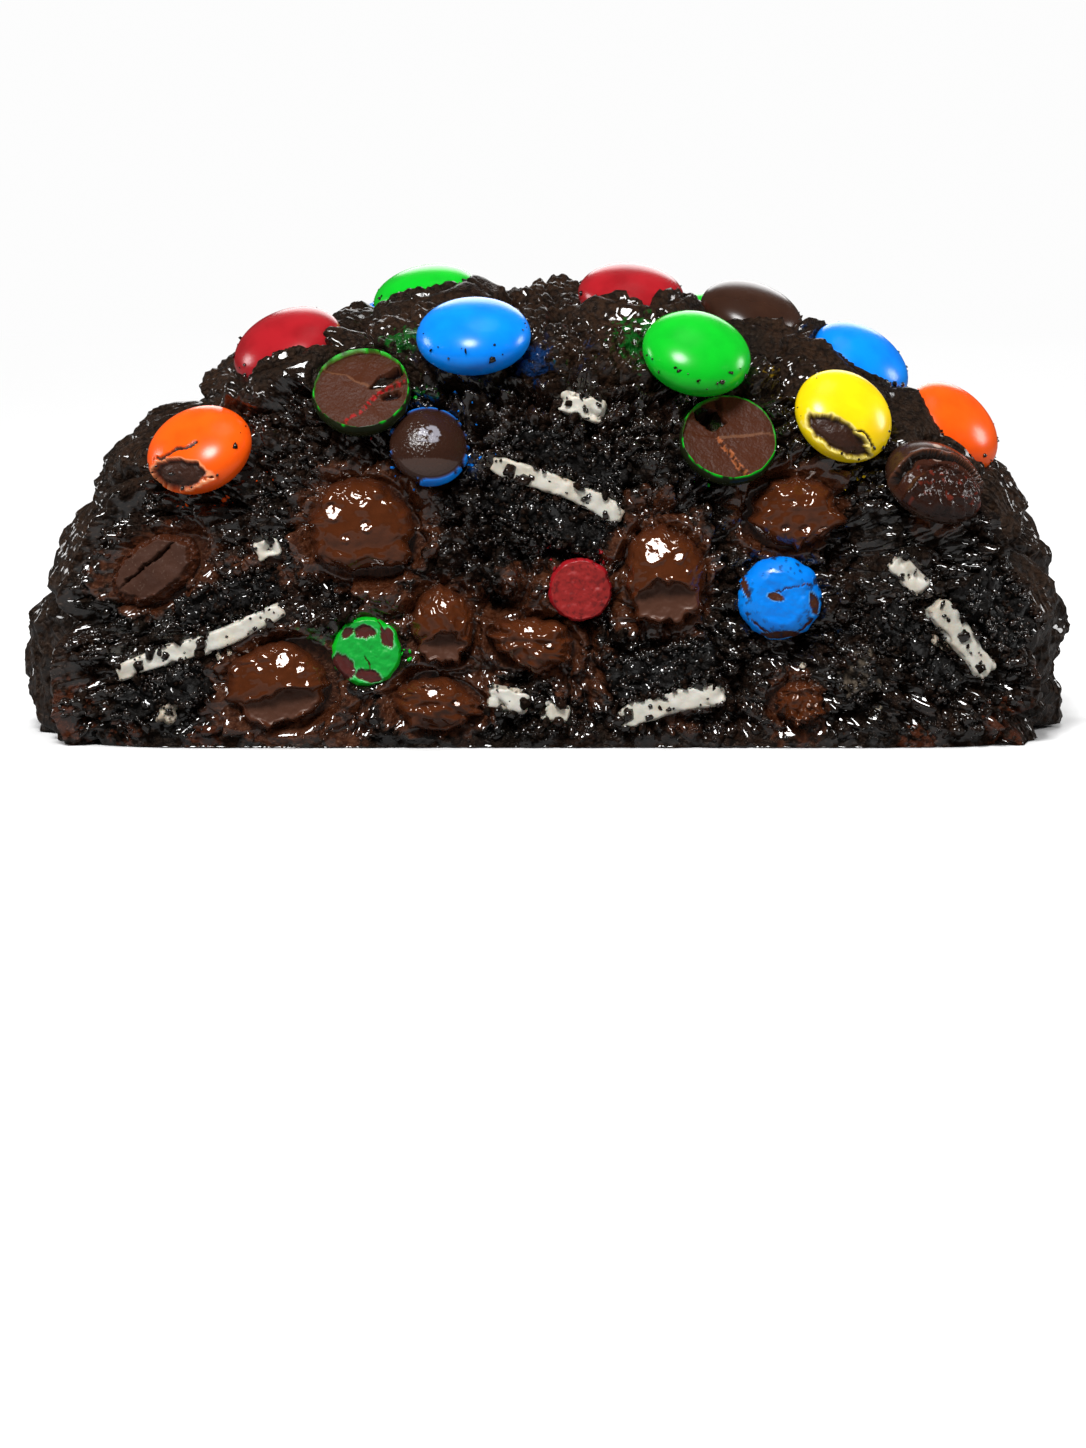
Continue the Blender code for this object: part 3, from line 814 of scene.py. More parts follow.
def stainAt(points):
    colours = np.zeros((len(points), 4))
    for colour, spots in stains.values():
        for *centre, radius in spots:
            away = np.linalg.norm(points - np.array(centre), axis=1)
            strength = stainStrength * smoothStep(1.5, 0.3, away / radius)
            stronger = strength > colours[:, 3]
            colours[stronger] = np.column_stack((np.tile(colour, (stronger.sum(), 1)), strength[stronger]))
    return colours


# The dough
hollows = [  # x, z, radius and depth of the deep gaps in the broken face
    (6.6, 43.0, 4.6, 3.0), (37.0, 23.4, 4.4, 3.4), (-6.0, 16.4, 2.8, 2.6), (-25.5, 18.6, 3.0, 2.2),
    (-52.5, 14.0, 2.8, 2.6), (37.5, 12.8, 2.6, 2.2), (-33.0, 13.8, 3.0, 1.8), (-49.0, 27.0, 2.6, 2.0),
    (20.0, 29.5, 3.0, 2.0), (3.0, 31.6, 2.4, 1.8), (-54.0, 8.0, 2.2, 2.2), (47.0, 11.0, 2.4, 1.8),
    (1.0, 12.2, 2.0, 1.8), (31.5, 12.0, 2.2, 1.8), (-39.0, 11.5, 2.2, 1.5), (52.0, 17.5, 2.2, 1.8),
]
crumbLook = {
    "halfWidths": (66.0, 64.0),  # to the left and to the right
    "outlines": (3.6, 2.6),
    "border": (0.03, 0.16),  # how far round the corner to the crust it runs
    "wander": 2.6,  # how far its edge strays, and over what length
    "wanderLength": 5.0,
    "gapSpacing": 3.4,
    "gapWidth": 0.17,
    "gap": 14.0,  # how steeply the gaps between clumps drop
    "clumps": (1.9, 1.15),  # spacing and height
    "largeClumps": (3.1, 0.9),
    "granules": (0.85, 0.48),
}
brokenFace = {
    "spacing": 0.266,
    "halfWidth": 76.0,
    "low": -2.0,
    "high": 46.0,
    "tuckedUnder": 3.5,  # how deep its border runs under the crust
    "edgeDrop": 0.9,
    "footDrop": 0.7,
}
crust = {
    "levels": 5,
    "cuts": 6,
    "sunkBehindFace": 7.0,
    "lip": 0.9,  # how far it stands over the crumb
    "wrinkleSpacing": (9.0, 4.0, 9.0),
    "radius": 62.0,
    "ridgeSpacing": 1.95,  # of the larger ridges along its sides
    "ridge": 0.5,
    "ridged": (24.0, 42.0),  # how far from the middle they begin and are full
    "fold": 1.3,
    "knobs": (4.6, 0.95),  # spacing and height
    "smallKnobs": (1.6, 0.55),
}


def raggedCrumb(points, broken):
    wander, length = crumbLook["wander"], crumbLook["wanderLength"]
    shifted = np.array([(Vector(p) + noise.noise_vector(Vector(p) / length) * wander)[:] for p in points])
    left = shifted[:, 0] < 0.0
    halfWidth = np.where(left, *crumbLook["halfWidths"])
    outline = np.where(left, *crumbLook["outlines"])
    return crumbShare(shifted, broken, halfWidth, outline, crumbLook["border"])


def hollowAt(points):
    depth = np.zeros(len(points))
    for x, z, radius, deep in hollows:
        away = faceDistance(points, x, z) / radius
        depth = np.maximum(depth, deep * smoothStep(1.15, 0.45, away))
    return depth


def crumbRelief(spot, warped, smear):
    split = abs(noise.noise(spot / crumbLook["gapSpacing"])) - crumbLook["gapWidth"]
    gaps = min(0.0, split) * crumbLook["gap"]
    clumps = lumps(spot, *crumbLook["clumps"]) + lumps(warped, *crumbLook["largeClumps"])
    clumps += 0.4 * noise.fractal(spot / 2.2, 1.0, 2.0, 3) + gaps
    granules = lumps(spot + (warped - spot) * 0.3, *crumbLook["granules"])
    dry = clumps + granules + 0.14 * noise.noise(spot / 0.45)
    melted = 0.45 * noise.noise(spot / 2.6) + 0.12 * noise.noise(spot / 0.9)
    return dry + (melted - dry) * min(1.0, smear * 1.15) - 0.45


# How far round the dome a point lies from its broken side, so that ridges run up and down
def aroundDome(spot):
    turned = math.atan2(abs(spot[0]), core[1] - spot[1])
    wander = 1.9 * noise.noise(Vector(spot) / 7.0) + 0.8 * noise.noise(Vector(spot) / 2.6)
    return crust["radius"] * turned + wander


def crustRelief(spot, warped):
    x, y, z = crust["wrinkleSpacing"]
    start, full = crust["ridged"]
    steep = min(1.0, max(0.0, (abs(spot.x) - start) / (full - start)))
    fold = 0.2 - abs(noise.noise(Vector((warped.x / x, warped.y / y, warped.z / z))))
    ridge = 1.0 - abs(math.sin(math.pi * aroundDome(spot) / crust["ridgeSpacing"]))
    wrinkles = crust["fold"] * fold + crust["ridge"] * ridge * steep
    knobs = lumps(warped, *crust["knobs"]) * (1.0 - 0.4 * steep)
    knobs += lumps(spot, *crust["smallKnobs"]) * (1.0 - 0.85 * steep)
    return wrinkles + knobs + 0.22 * (1.0 - 0.7 * steep) * noise.noise(spot / 0.7) - 0.4


# Cuts a ball's edges where they lie on the wanted part of the skin
def refine(ball, cuts, isWanted):
    middles = np.array([(edge.verts[0].co + edge.verts[1].co)[:] for edge in ball.edges])
    wanted = isWanted(*plainPoints(units(middles)))
    chosen = [edge for edge, take in zip(ball.edges, wanted) if take]
    bmesh.ops.subdivide_edges(ball, edges=chosen, cuts=cuts, use_grid_fill=True)
    bmesh.ops.triangulate(ball, faces=[face for face in ball.faces if len(face.verts) > 3])


def showsCrust(points, broken):
    outwards = points * (1.08, 1.0, 1.08) + (0.0, 0.0, 1.5)
    return (points[:, 2] > -1.0) & (crumbShare(outwards, broken) < 0.97)


# The sides and the front of the top, which show closest
def showsFinely(points, broken):
    beside = (np.abs(points[:, 0]) > 32.0) & (points[:, 1] < 1.5) & (points[:, 2] > -0.5)
    above = (points[:, 1] < -9.0) & (points[:, 2] > 36.0)
    return (beside | above) & (raggedCrumb(points, broken) < 0.9)


def crustDirections():
    ball = bmesh.new()
    bmesh.ops.create_icosphere(ball, subdivisions=crust["levels"], radius=1.0)
    refine(ball, crust["cuts"], showsCrust)
    refine(ball, 1, showsFinely)
    points, triangles = pointsAndTriangles(ball)
    return units(points), triangles


def faceDirections():
    step = brokenFace["spacing"]
    width = brokenFace["halfWidth"]
    rows = np.arange(brokenFace["low"], brokenFace["high"], step * math.sqrt(0.75))
    columns = np.arange(-width, width, step)
    x, z = np.meshgrid(columns, rows)
    x = x + (np.arange(len(rows)) % 2)[:, None] * step / 2
    spots = np.column_stack((x.ravel(), np.full(x.size, -form["faceOffset"]), z.ravel()))
    ways = units(spots - core)
    points, broken = plainPoints(ways)
    kept = (raggedCrumb(points, broken) > 0.02) & (points[:, 2] > -0.8)
    index = np.arange(x.size).reshape(x.shape)
    a, b, c, d = index[:-1, :-1], index[:-1, 1:], index[1:, :-1], index[1:, 1:]
    odd = (np.arange(len(rows) - 1) % 2 == 1)[:, None]
    first = np.stack((a, np.where(odd, d, b), c), axis=-1).reshape(-1, 3)
    second = np.stack((np.where(odd, a, b), np.where(odd, b, d), np.where(odd, d, c)), axis=-1)
    triangles = np.concatenate((first, second.reshape(-1, 3)))
    triangles = triangles[kept[triangles].all(axis=1)]
    used = np.unique(triangles)
    renumbered = np.full(x.size, -1)
    renumbered[used] = np.arange(len(used))
    return ways[used], renumbered[triangles]


# Closes an open sheet with a fan from its border to one point inside
def closeBehind(points, triangles):
    sides = np.concatenate((triangles[:, (0, 1)], triangles[:, (1, 2)], triangles[:, (2, 0)]))
    count = len(points)
    forward = sides[:, 0].astype(np.int64) * count + sides[:, 1]
    backward = sides[:, 1].astype(np.int64) * count + sides[:, 0]
    border = sides[~np.isin(forward, backward)]
    fan = np.column_stack((border[:, 1], border[:, 0], np.full(len(border), count)))
    return np.vstack((points, core)), np.vstack((triangles, fan))


laps = {  # where the crust rises over a sweet: turn round its rim in degrees, and share of its radius
    "sweet_red_left": (-35.0, 0.30),
    "sweet_green_back": (-30.0, 0.35),
    "sweet_red_top": (-90.0, 0.30),
    "sweet_brown_top": (-95.0, 0.30),
    "sweet_blue_right": (-150.0, 0.22),
    "sweet_orange_right": (-165.0, 0.22),
}


# Where round a sweet's rim the crust laps it, and from which share of its radius
def lapStart(name, local):
    turn, amount = laps[name]
    angle = np.arctan2(local[:, 1], local[:, 0])
    toward = smoothStep(0.25, 0.95, np.cos(angle - math.radians(turn)))
    return toward, 1.0 - amount * toward


# Raises the crust over the rims that it laps
def lapRims(points, ways):
    for name in laps:
        seat = seats[name]
        share, local = rimShare(name, points)
        toward, start = lapStart(name, local)
        thick = seat["half"][2]
        covered = thick * np.sqrt(np.maximum(0.0, 1.0 - np.minimum(share, 1.0) ** 2)) + 0.5
        beyond = 0.55 * thick * smoothStep(1.55, 1.05, share)
        level = np.where(share < 1.0, covered, beyond)
        wanted = (share > start) & (share < 1.55) & (toward > 0.02) & (local[:, 2] < level)
        facing = np.maximum(0.4, ways @ seat["ways"][2])
        lift = np.where(wanted, (level - local[:, 2]) / facing * smoothStep(0.0, 0.35, toward), 0.0)
        points = points + ways * np.clip(lift, 0.0, 4.0)[:, None]
    return points


rims = {  # height of the dough's rim, as a share of half a piece's thickness less millimetres, and its slope
    "slab": (1.0, 0.9, 2.2),
    "whole": (-0.12, 0.0, 1.6),
    "broken": (-0.05, 0.0, 1.3),
    "other": (0.0, 0.0, 1.4),
    "lapSlope": 6.0,
}


def rimOf(name):
    if name in slabs:
        return rims["slab"]
    if name in wholeSweets:
        return rims["whole"]
    return rims["broken" if name in brokenSweets else "other"]


# The dough stays below the pieces and closes round their rims
def clearPieces(points, ways):
    for name, seat in seats.items():
        share, local = rimShare(name, points, 0.1)
        half = seat["half"]
        height, less, slope = rimOf(name)
        start = np.ones(len(points))
        if name in laps:
            _, start = lapStart(name, local)
            slope = np.where(start < 0.99, rims["lapSlope"], slope)
        limit = height * half[2] - less + np.maximum(0.0, share - start) * half[:2].min() * slope
        over = (share < 1.6) & (local[:, 2] > limit)
        facing = np.maximum(0.35, ways @ seat["ways"][2])
        drop = np.where(over, (local[:, 2] - limit) / facing, 0.0)
        points = points - ways * np.minimum(drop, 7.0)[:, None]
    return points


# How far the skin rises over the plain one, with the fine relief of the crust or the crumb
def skinRise(plain, broken, fineRelief, *shares):
    solidCrumb = crumbShare(plain, broken)
    rise = np.empty(len(plain))
    for i, point in enumerate(plain):
        spot = Vector(point)
        warped = spot + noise.noise_vector(spot / 11.0) * 3.5
        fine = fineRelief(spot, warped, *(float(share[i]) for share in shares))
        rise[i] = largeRelief(spot, warped, float(solidCrumb[i])) + fine
    return rise


def makeCrust():
    ways, triangles = crustDirections()
    plain, broken = plainPoints(ways)
    crumb = raggedCrumb(plain, broken)
    rise = skinRise(plain, broken, crustRelief)
    band = smoothStep(0.0, 0.3, crumb) * smoothStep(0.75, 0.45, crumb)
    rise += crust["lip"] * band * smoothStep(-4.0, -14.0, plain[:, 1])
    rise -= crust["sunkBehindFace"] * smoothStep(0.5, 0.85, crumb)
    points = lapRims(plain + ways * rise[:, None], ways)
    points = clearPieces(points, ways)
    points[:, 2] = np.maximum(points[:, 2], 0.0)
    made = meshObject("cookieCrust", points, triangles, materials["dough"])
    addMask(made, "crumb", smoothStep(0.1, 0.6, crumb))
    addMask(made, "smear", smearAt(points) * smoothStep(0.0, 0.5, crumb))
    lowDown = np.maximum(smoothStep(38.0, 26.0, points[:, 2]), smoothStep(34.0, 46.0, np.abs(points[:, 0])))
    addMask(made, "wrinkled", lowDown * smoothStep(0.6, 0.2, crumb))
    addMask(made, "around", [aroundDome(point) for point in plain])
    addTint(made, "stain", stainAt(points))
    keep(made, "dough", "cookie_dough")


def makeBrokenFace():
    ways, triangles = faceDirections()
    plain, broken = plainPoints(ways)
    crumb = raggedCrumb(plain, broken)
    smear = smearAt(plain)
    rise = skinRise(plain, broken, crumbRelief, smear)
    rise -= hollowAt(plain)
    foot = smoothStep(2.2, 0.3, plain[:, 2])
    rise -= 0.88 * foot * (rise + brokenFace["footDrop"])
    rise -= brokenFace["edgeDrop"] * (1.0 - crumb)
    rise -= brokenFace["tuckedUnder"] * smoothStep(0.35, 0.05, crumb)
    points = clearPieces(plain + ways * rise[:, None], ways)
    points[:, 2] = np.maximum(points[:, 2], 0.0)
    closedPoints, closedTriangles = closeBehind(points, triangles)
    made = meshObject("brokenFace", closedPoints, closedTriangles, materials["dough"])
    addMask(made, "crumb", np.append(smoothStep(0.0, 0.4, crumb), 1.0))
    addMask(made, "smear", np.append(smear, 0.0))
    addTint(made, "stain", stainAt(closedPoints))
    keep(made, "dough", "cookie_dough")
    return points, triangles, crumb, smear


makeCrust()
facePoints, faceTriangles, faceCrumb, faceSmear = makeBrokenFace()
print("dough made")


# One piece in place of its node, with its masks. Some wear another material than their slot's
otherMaterials = {
    "torn_sweet_left": "torn_shell",
    "torn_sweet_right": "torn_shell",
    "peeled_sweet": "blue_shell",
    "chip_middle": "melted_chocolate",
    "chip_right": "melted_chocolate",
}


def addPiece(name, local, triangles, masks):
    material = materials[otherMaterials.get(name, slotOf[name])]
    made = meshObject(camel(name), toWorld(seats[name], local), triangles, material)
    for mask, values in masks.items():
        (addTint if mask == "streak" else addMask)(made, mask, values)
    keep(made, slotOf[name], name)


# Crumbs and bits of shell, as joined meshes of small uneven grains
def grainShapes(levels, count):
    shapes = []
    for shape in range(count):
        ball = bmesh.new()
        bmesh.ops.create_icosphere(ball, subdivisions=levels, radius=1.0)
        points, triangles = pointsAndTriangles(ball)
        bulge = np.array([noise.noise(Vector(p) * 1.4 + Vector((shape * 7.0, 0.0, 0.0))) for p in points])
        shapes.append((points * (1.0 + 0.6 * bulge)[:, None], triangles))
    return shapes


def randomTurns(count):
    quads = draw.normal(size=(count, 4))
    w, x, y, z = (quads / np.linalg.norm(quads, axis=1)[:, None]).T
    return np.array((
        (1 - 2 * (y * y + z * z), 2 * (x * y - w * z), 2 * (x * z + w * y)),
        (2 * (x * y + w * z), 1 - 2 * (x * x + z * z), 2 * (y * z - w * x)),
        (2 * (x * z - w * y), 2 * (y * z + w * x), 1 - 2 * (x * x + y * y)),
    )).transpose(2, 0, 1)


def makeGrains(name, places, sizes, slot, levels=1, smear=0.0, unevenness=0.3):
    count = len(places)
    turns = randomTurns(count)
    squash = np.clip(1.0 + unevenness * draw.normal(size=(count, 3)), 0.4, 1.6)
    kinds = draw.integers(0, 6, count)
    smear = smear * np.ones(count)
    allPoints, allTriangles, smears, start = [], [], [], 0
    for kind, (points, triangles) in enumerate(grainShapes(levels, 6)):
        mine = np.where(kinds == kind)[0]
        shaped = points[None] * squash[mine][:, None, :] * sizes[mine][:, None, None]
        placed = np.einsum("nij,npj->npi", turns[mine], shaped) + places[mine][:, None, :]
        allPoints.append(placed.reshape(-1, 3))
        shifts = start + np.arange(len(mine)) * len(points)
        allTriangles.append((triangles[None] + shifts[:, None, None]).reshape(-1, 3))
        smears.append(np.repeat(smear[mine], len(points)))
        start += len(mine) * len(points)
    made = meshObject(name, np.concatenate(allPoints), np.concatenate(allTriangles), materials[slot])
    addMask(made, "crumb", np.ones(start))
    addMask(made, "smear", np.concatenate(smears))
    return keep(made, slot)


# Random places on the broken face, more where crumbs lie in clumps and fewer where it is smeared
def facePlaces(count, sizes, proud):
    corners = facePoints[faceTriangles]
    crossed = np.cross(corners[:, 1] - corners[:, 0], corners[:, 2] - corners[:, 0])
    area = np.linalg.norm(crossed, axis=1)
    middle = corners.mean(axis=1)
    wet = faceSmear[faceTriangles].mean(axis=1)
    weight = area * (faceCrumb[faceTriangles].min(axis=1) > 0.5) * (1.0 - 0.93 * wet) ** 2
    weight *= (middle[:, 2] > 0.9) * (0.25 + clumped)
    for name in seats:
        inside, _ = rimShare(name, middle)
        weight[inside < 1.03] = 0.0
    chosen = draw.choice(len(weight), size=count, p=weight / weight.sum())
    mix = draw.dirichlet((1.0, 1.0, 1.0), count)
    outward = crossed[chosen] / area[chosen][:, None]
    places = (corners[chosen] * mix[:, :, None]).sum(axis=1) + outward * (sizes * proud)[:, None]
    places[:, 2] = np.maximum(places[:, 2], sizes * 1.3)
    return places, wet[chosen]


def drawSizes(span, count):
    low, high = span
    return low + (high - low) * draw.random(count) ** 2.0


crumbs = {
    "faceCrumbs": {"count": 560, "size": (0.32, 0.85), "levels": 2, "proud": -0.1},
    "faceGrains": {"count": 4200, "size": (0.14, 0.36), "levels": 1, "proud": 0.2},
}
clumped = noiseAt(facePoints[faceTriangles[:, 0]], 4.5) > 0.02
for name, row in crumbs.items():
    sizes = drawSizes(row["size"], row["count"])
    places, wet = facePlaces(row["count"], sizes, row["proud"])
    makeGrains(name, places, sizes, "dough", row["levels"], wet)
print("crumbs scattered")


# Sweets
grids = {  # sides, and rings of the outer and of the hidden half
    "whole": (56, 14, 8),
    "holed": (170, 64, 14),
    "broken": (120, 44, 20),
    "sunk": (110, 44, 8),
    "melt": (110, 38, 8),
    "chunk": (140, 50, 10),
}
holes = {  # u and v across the face, half length, half width, turn in degrees and depth in millimetres
    "sweet_orange_left": [(-0.20, -0.74, 0.60, 0.31, 8.0, 0.8)],
    "sweet_yellow": [(-0.32, -0.50, 0.62, 0.24, -38.0, 0.8)],
    "sunk_sweet_blue": [(-0.12, 0.05, 0.20, 0.10, -20.0, 0.12), (0.80, -0.10, 0.12, 0.26, 10.0, 0.4),
                        (0.05, -0.86, 0.50, 0.10, 0.0, 0.35), (-0.85, 0.30, 0.08, 0.30, 20.0, 0.3)],
    "sunk_sweet_green": [(-0.05, 0.58, 0.30, 0.20, 8.0, 0.3), (-0.68, -0.42, 0.40, 0.28, -50.0, 0.3),
                         (0.05, -0.68, 0.42, 0.18, -12.0, 0.3), (0.60, 0.38, 0.18, 0.30, 20.0, 0.25),
                         (-0.55, 0.55, 0.20, 0.13, 40.0, 0.2)],
    "torn_sweet_left": [(0.52, 0.30, 0.40, 0.13, 38.0, 1.3), (0.62, -0.10, 0.22, 0.10, 15.0, 0.8)],
    "torn_sweet_right": [(-0.34, 0.50, 0.34, 0.22, -38.0, 1.2)],
}
cracks = {  # u and v of both ends, bend and half width
    "sweet_orange_left": [(-0.52, -0.42, 0.12, -0.16, -0.05, 0.026)],
    "sweet_yellow": [(-0.46, -0.12, -0.50, -0.36, 0.0, 0.014), (-0.10, -0.34, 0.22, -0.62, 0.04, 0.018)],
    "sunk_sweet_blue": [(-0.2, 0.15, 0.75, 0.35, 0.05, 0.02), (-0.7, -0.5, -0.2, -0.85, 0.0, 0.03),
                        (0.3, -0.9, 0.75, -0.5, 0.0, 0.03)],
    "sunk_sweet_green": [(0.30, 0.95, 0.62, 0.30, 0.0, 0.03), (-0.1, -0.1, 0.1, -0.5, 0.05, 0.02)],
}
paints = {
    "hole": (0.020, 0.009, 0.006),
    "ridge": (0.15, 0.065, 0.035),
    "torn": (0.038, 0.012, 0.0075),
    # painted shade for the deep holes in the torn sweets
    "tornDepth": (0.010, 0.004, 0.004),
    "tornWall": (0.013, 0.011, 0.006),
    "peeled": (0.022, 0.011, 0.008),
    # painted highlight, not chocolate bloom: pale patch on the peeled sweet's upper middle
    "bloom": (0.30, 0.29, 0.33),
    # painted reflection: greyish band along the peeled sweet's lower part
    "peeledBand": (0.062, 0.042, 0.036),
    "underArch": (0.030, 0.0095, 0.006),
    "lowerLobe": (0.012, 0.005, 0.004),
    # painted glints: wine-red spots on the cracked sweet's chocolate
    "wineGrains": (0.105, 0.014, 0.008),
    # painted highlight: pale patch on the cracked sweet's chocolate
    "window": (0.24, 0.17, 0.14),
    # painted shade: near black in the gap under the cracked shell's edge
    "gap": (0.0035, 0.0025, 0.002),
    "nick": (0.34, 0.25, 0.20),
}


def emptyMasks(count):
    masks = {name: np.zeros(count) for name in ("inside", "edge", "scuff", "gloss")}
    masks["streak"] = np.zeros((count, 4))
    return masks


def paint(masks, colour, share):
    stronger = share > masks["streak"][:, 3]
    masks["streak"][stronger] = np.column_stack((np.tile(colour, (stronger.sum(), 1)), share[stronger]))


def raggedness(u, v, shift, size=0.16, octaves=3):
    return fractalAt(np.column_stack((u, v, np.full(len(u), shift))), size, octaves)


# Breaks the shell open: the surface sinks to the chocolate and its edge curls out a little
def cutHoles(name, u, v, masks):
    sink = np.zeros(len(u))
    for i, (cu, cv, length, width, turn, depth) in enumerate(holes.get(name, ())):
        c, s = math.cos(math.radians(turn)), math.sin(math.radians(turn))
        x, y = (u - cu) * c + (v - cv) * s, (v - cv) * c - (u - cu) * s
        away = np.hypot(x / length, y / width) + 0.26 * raggedness(u, v, i * 3.1 + len(name), 0.2, 2)
        inside = smoothStep(1.06, 0.93, away)
        crags = depth * 0.25 * raggedness(u, v, 40.0 + i, 0.3)
        sink = np.maximum(sink, (depth + crags) * inside)
        sink -= 0.09 * smoothStep(1.0, 1.06, away) * smoothStep(1.28, 1.08, away)
        masks["inside"] = np.maximum(masks["inside"], inside)
        rim = smoothStep(1.0, 1.02, away) * smoothStep(1.16, 1.06, away)
        masks["edge"] = np.maximum(masks["edge"], rim)
    for i, (au, av, bu, bv, bend, width) in enumerate(cracks.get(name, ())):
        long = math.hypot(bu - au, bv - av)
        du, dv = (bu - au) / long, (bv - av) / long
        x = (u - au) * du + (v - av) * dv
        share = np.clip(x / long, 0.0, 1.0)
        y = (v - av) * du - (u - au) * dv - bend * 4.0 * share * (1.0 - share)
        y = y - 0.05 * raggedness(u, v, 9.0 + i)
        beyond = np.maximum(np.maximum(-x, x - long), 0.0)
        away = np.hypot(y, beyond) / (width * (0.4 + 1.2 * share * (1.6 - share)))
        inside = smoothStep(1.1, 0.7, away)
        sink = np.maximum(sink, 0.3 * inside)
        masks["inside"] = np.maximum(masks["inside"], inside)
    return sink


# A ball's points at a piece's size, with its outline made uneven
def outlined(points, half, edge):
    return points * half * np.column_stack((edge, edge, np.ones(len(points))))


def makeWholeSweet(name):
    seat = seats[name]
    points, triangles = ballGrid(*grids["holed" if name in holes else "whole"])
    masks = emptyMasks(len(points))
    dents = noiseAt(points * 1.3 + seat["centre"], 1.0)
    local = points * seat["half"] * (0.992 + 0.008 * dents)[:, None]
    if name in holes:
        tilt = np.arccos(np.clip(points[:, 2], -1.0, 1.0)) / (math.pi / 2)
        across = units(points[:, :2]) * tilt[:, None]
        sink = cutHoles(name, *across.T, masks)
        local = local - units(points / seat["half"]) * sink[:, None]
        paint(masks, paints["hole"], 0.7 * masks["inside"])
    addPiece(name, local, triangles, masks)


# A sweet torn across: flat chips of chocolate inside a thin ring of shell
tornFaces = {  # where the chips meet, the angles between them, how each lies, and what runs between them
    "torn_sweet_left": {
        "middle": (0.40, -0.02), "cuts": (25.0, 155.0, 232.0),
        "tilts": ((0.2, -0.35, -0.15), (0.10, 0.25, -0.2), (-0.25, 0.10, -0.45)),
        "streak": (0.30, 0.008, 0.008), "streaked": (232.0, 25.0), "ridge": (155.0,), "ring": (55.0, -0.05),
    },
    "torn_sweet_right": {
        "middle": (-0.22, 0.02), "cuts": (2.0, 80.0, 165.0, 300.0),
        "tilts": ((0.1, 0.25, -0.1), (-0.15, 0.15, -0.6), (0.1, 0.2, -0.35), (0.1, -0.12, -0.05)),
        "streak": (0.36, 0.105, 0.035), "streaked": (300.0,), "ridge": (2.0,), "ring": (20.0, 0.30),
    },
}


def makeTornSweet(name):
    half, look = seats[name]["half"], tornFaces[name]
    points, triangles = ballGrid(*grids["broken"])
    masks = emptyMasks(len(points))
    u, v = points[:, 0], points[:, 1]
    radius = np.hypot(u, v)
    front = points[:, 2] > 0.30
    du, dv = u - look["middle"][0], v - look["middle"][1]
    wander = 7.0 * raggedness(u, v, 5.0, 0.5)
    angle = (np.degrees(np.arctan2(dv, du)) + wander) % 360.0
    level = np.zeros(len(u))
    cuts = look["cuts"]
    for i, (start, tilt) in enumerate(zip(cuts, look["tilts"])):
        end = cuts[(i + 1) % len(cuts)]
        within = (angle >= start) & (angle < end) if end > start else (angle >= start) | (angle < end)
        level[within] = (tilt[0] * du + tilt[1] * dv + tilt[2])[within]
    level += 0.10 * raggedness(u, v, 1.0, 0.35)
    inner = smoothStep(0.95, 0.93, radius + 0.002 * wander)
    sink = cutHoles(name, u, v, masks) * inner
    cutHeight = 0.30 * half[2] + np.where(inner > 0.5, level - 0.25, 0.1) - sink
    local = outlined(points, half, 1.0 + 0.03 * raggedness(u, v, 6.0, 0.5))
    local[front, 2] = cutHeight[front]
    masks["inside"] = np.where(front, inner, 0.0)
    masks["edge"] = np.zeros(len(u))
    toward, least = look["ring"]
    ring = 0.55 * np.cos(np.radians(angle - toward)) + least + 1.3 * raggedness(u, v, 33.0, 0.22)
    shell = smoothStep(-0.1, 0.12, ring) * smoothStep(0.972, 0.962, radius) * (points[:, 2] > 0.1)
    broken = front * inner
    for cut in look["streaked"] + look["ridge"]:
        away = np.abs((angle - cut + 180.0) % 360.0 - 180.0) * np.hypot(du, dv)
        if cut in look["streaked"]:
            dotted = smoothStep(0.0, 0.25, raggedness(u, v, 70.0, 0.08) + 0.15)
            paint(masks, look["streak"], smoothStep(4.2, 1.6, away) * broken * dotted)
        else:
            paint(masks, paints["ridge"], 0.8 * smoothStep(3.0, 1.2, away) * broken)
    paint(masks, paints["torn"], 0.45 * broken)
    # painted shade: darker the deeper the torn hole sinks
    paint(masks, paints["tornDepth"], smoothStep(0.3, 0.8, sink) * front)
    paint(masks, paints["tornWall"], 0.985 * (1.0 - np.maximum(broken, shell)))
    addPiece(name, local, triangles, masks)


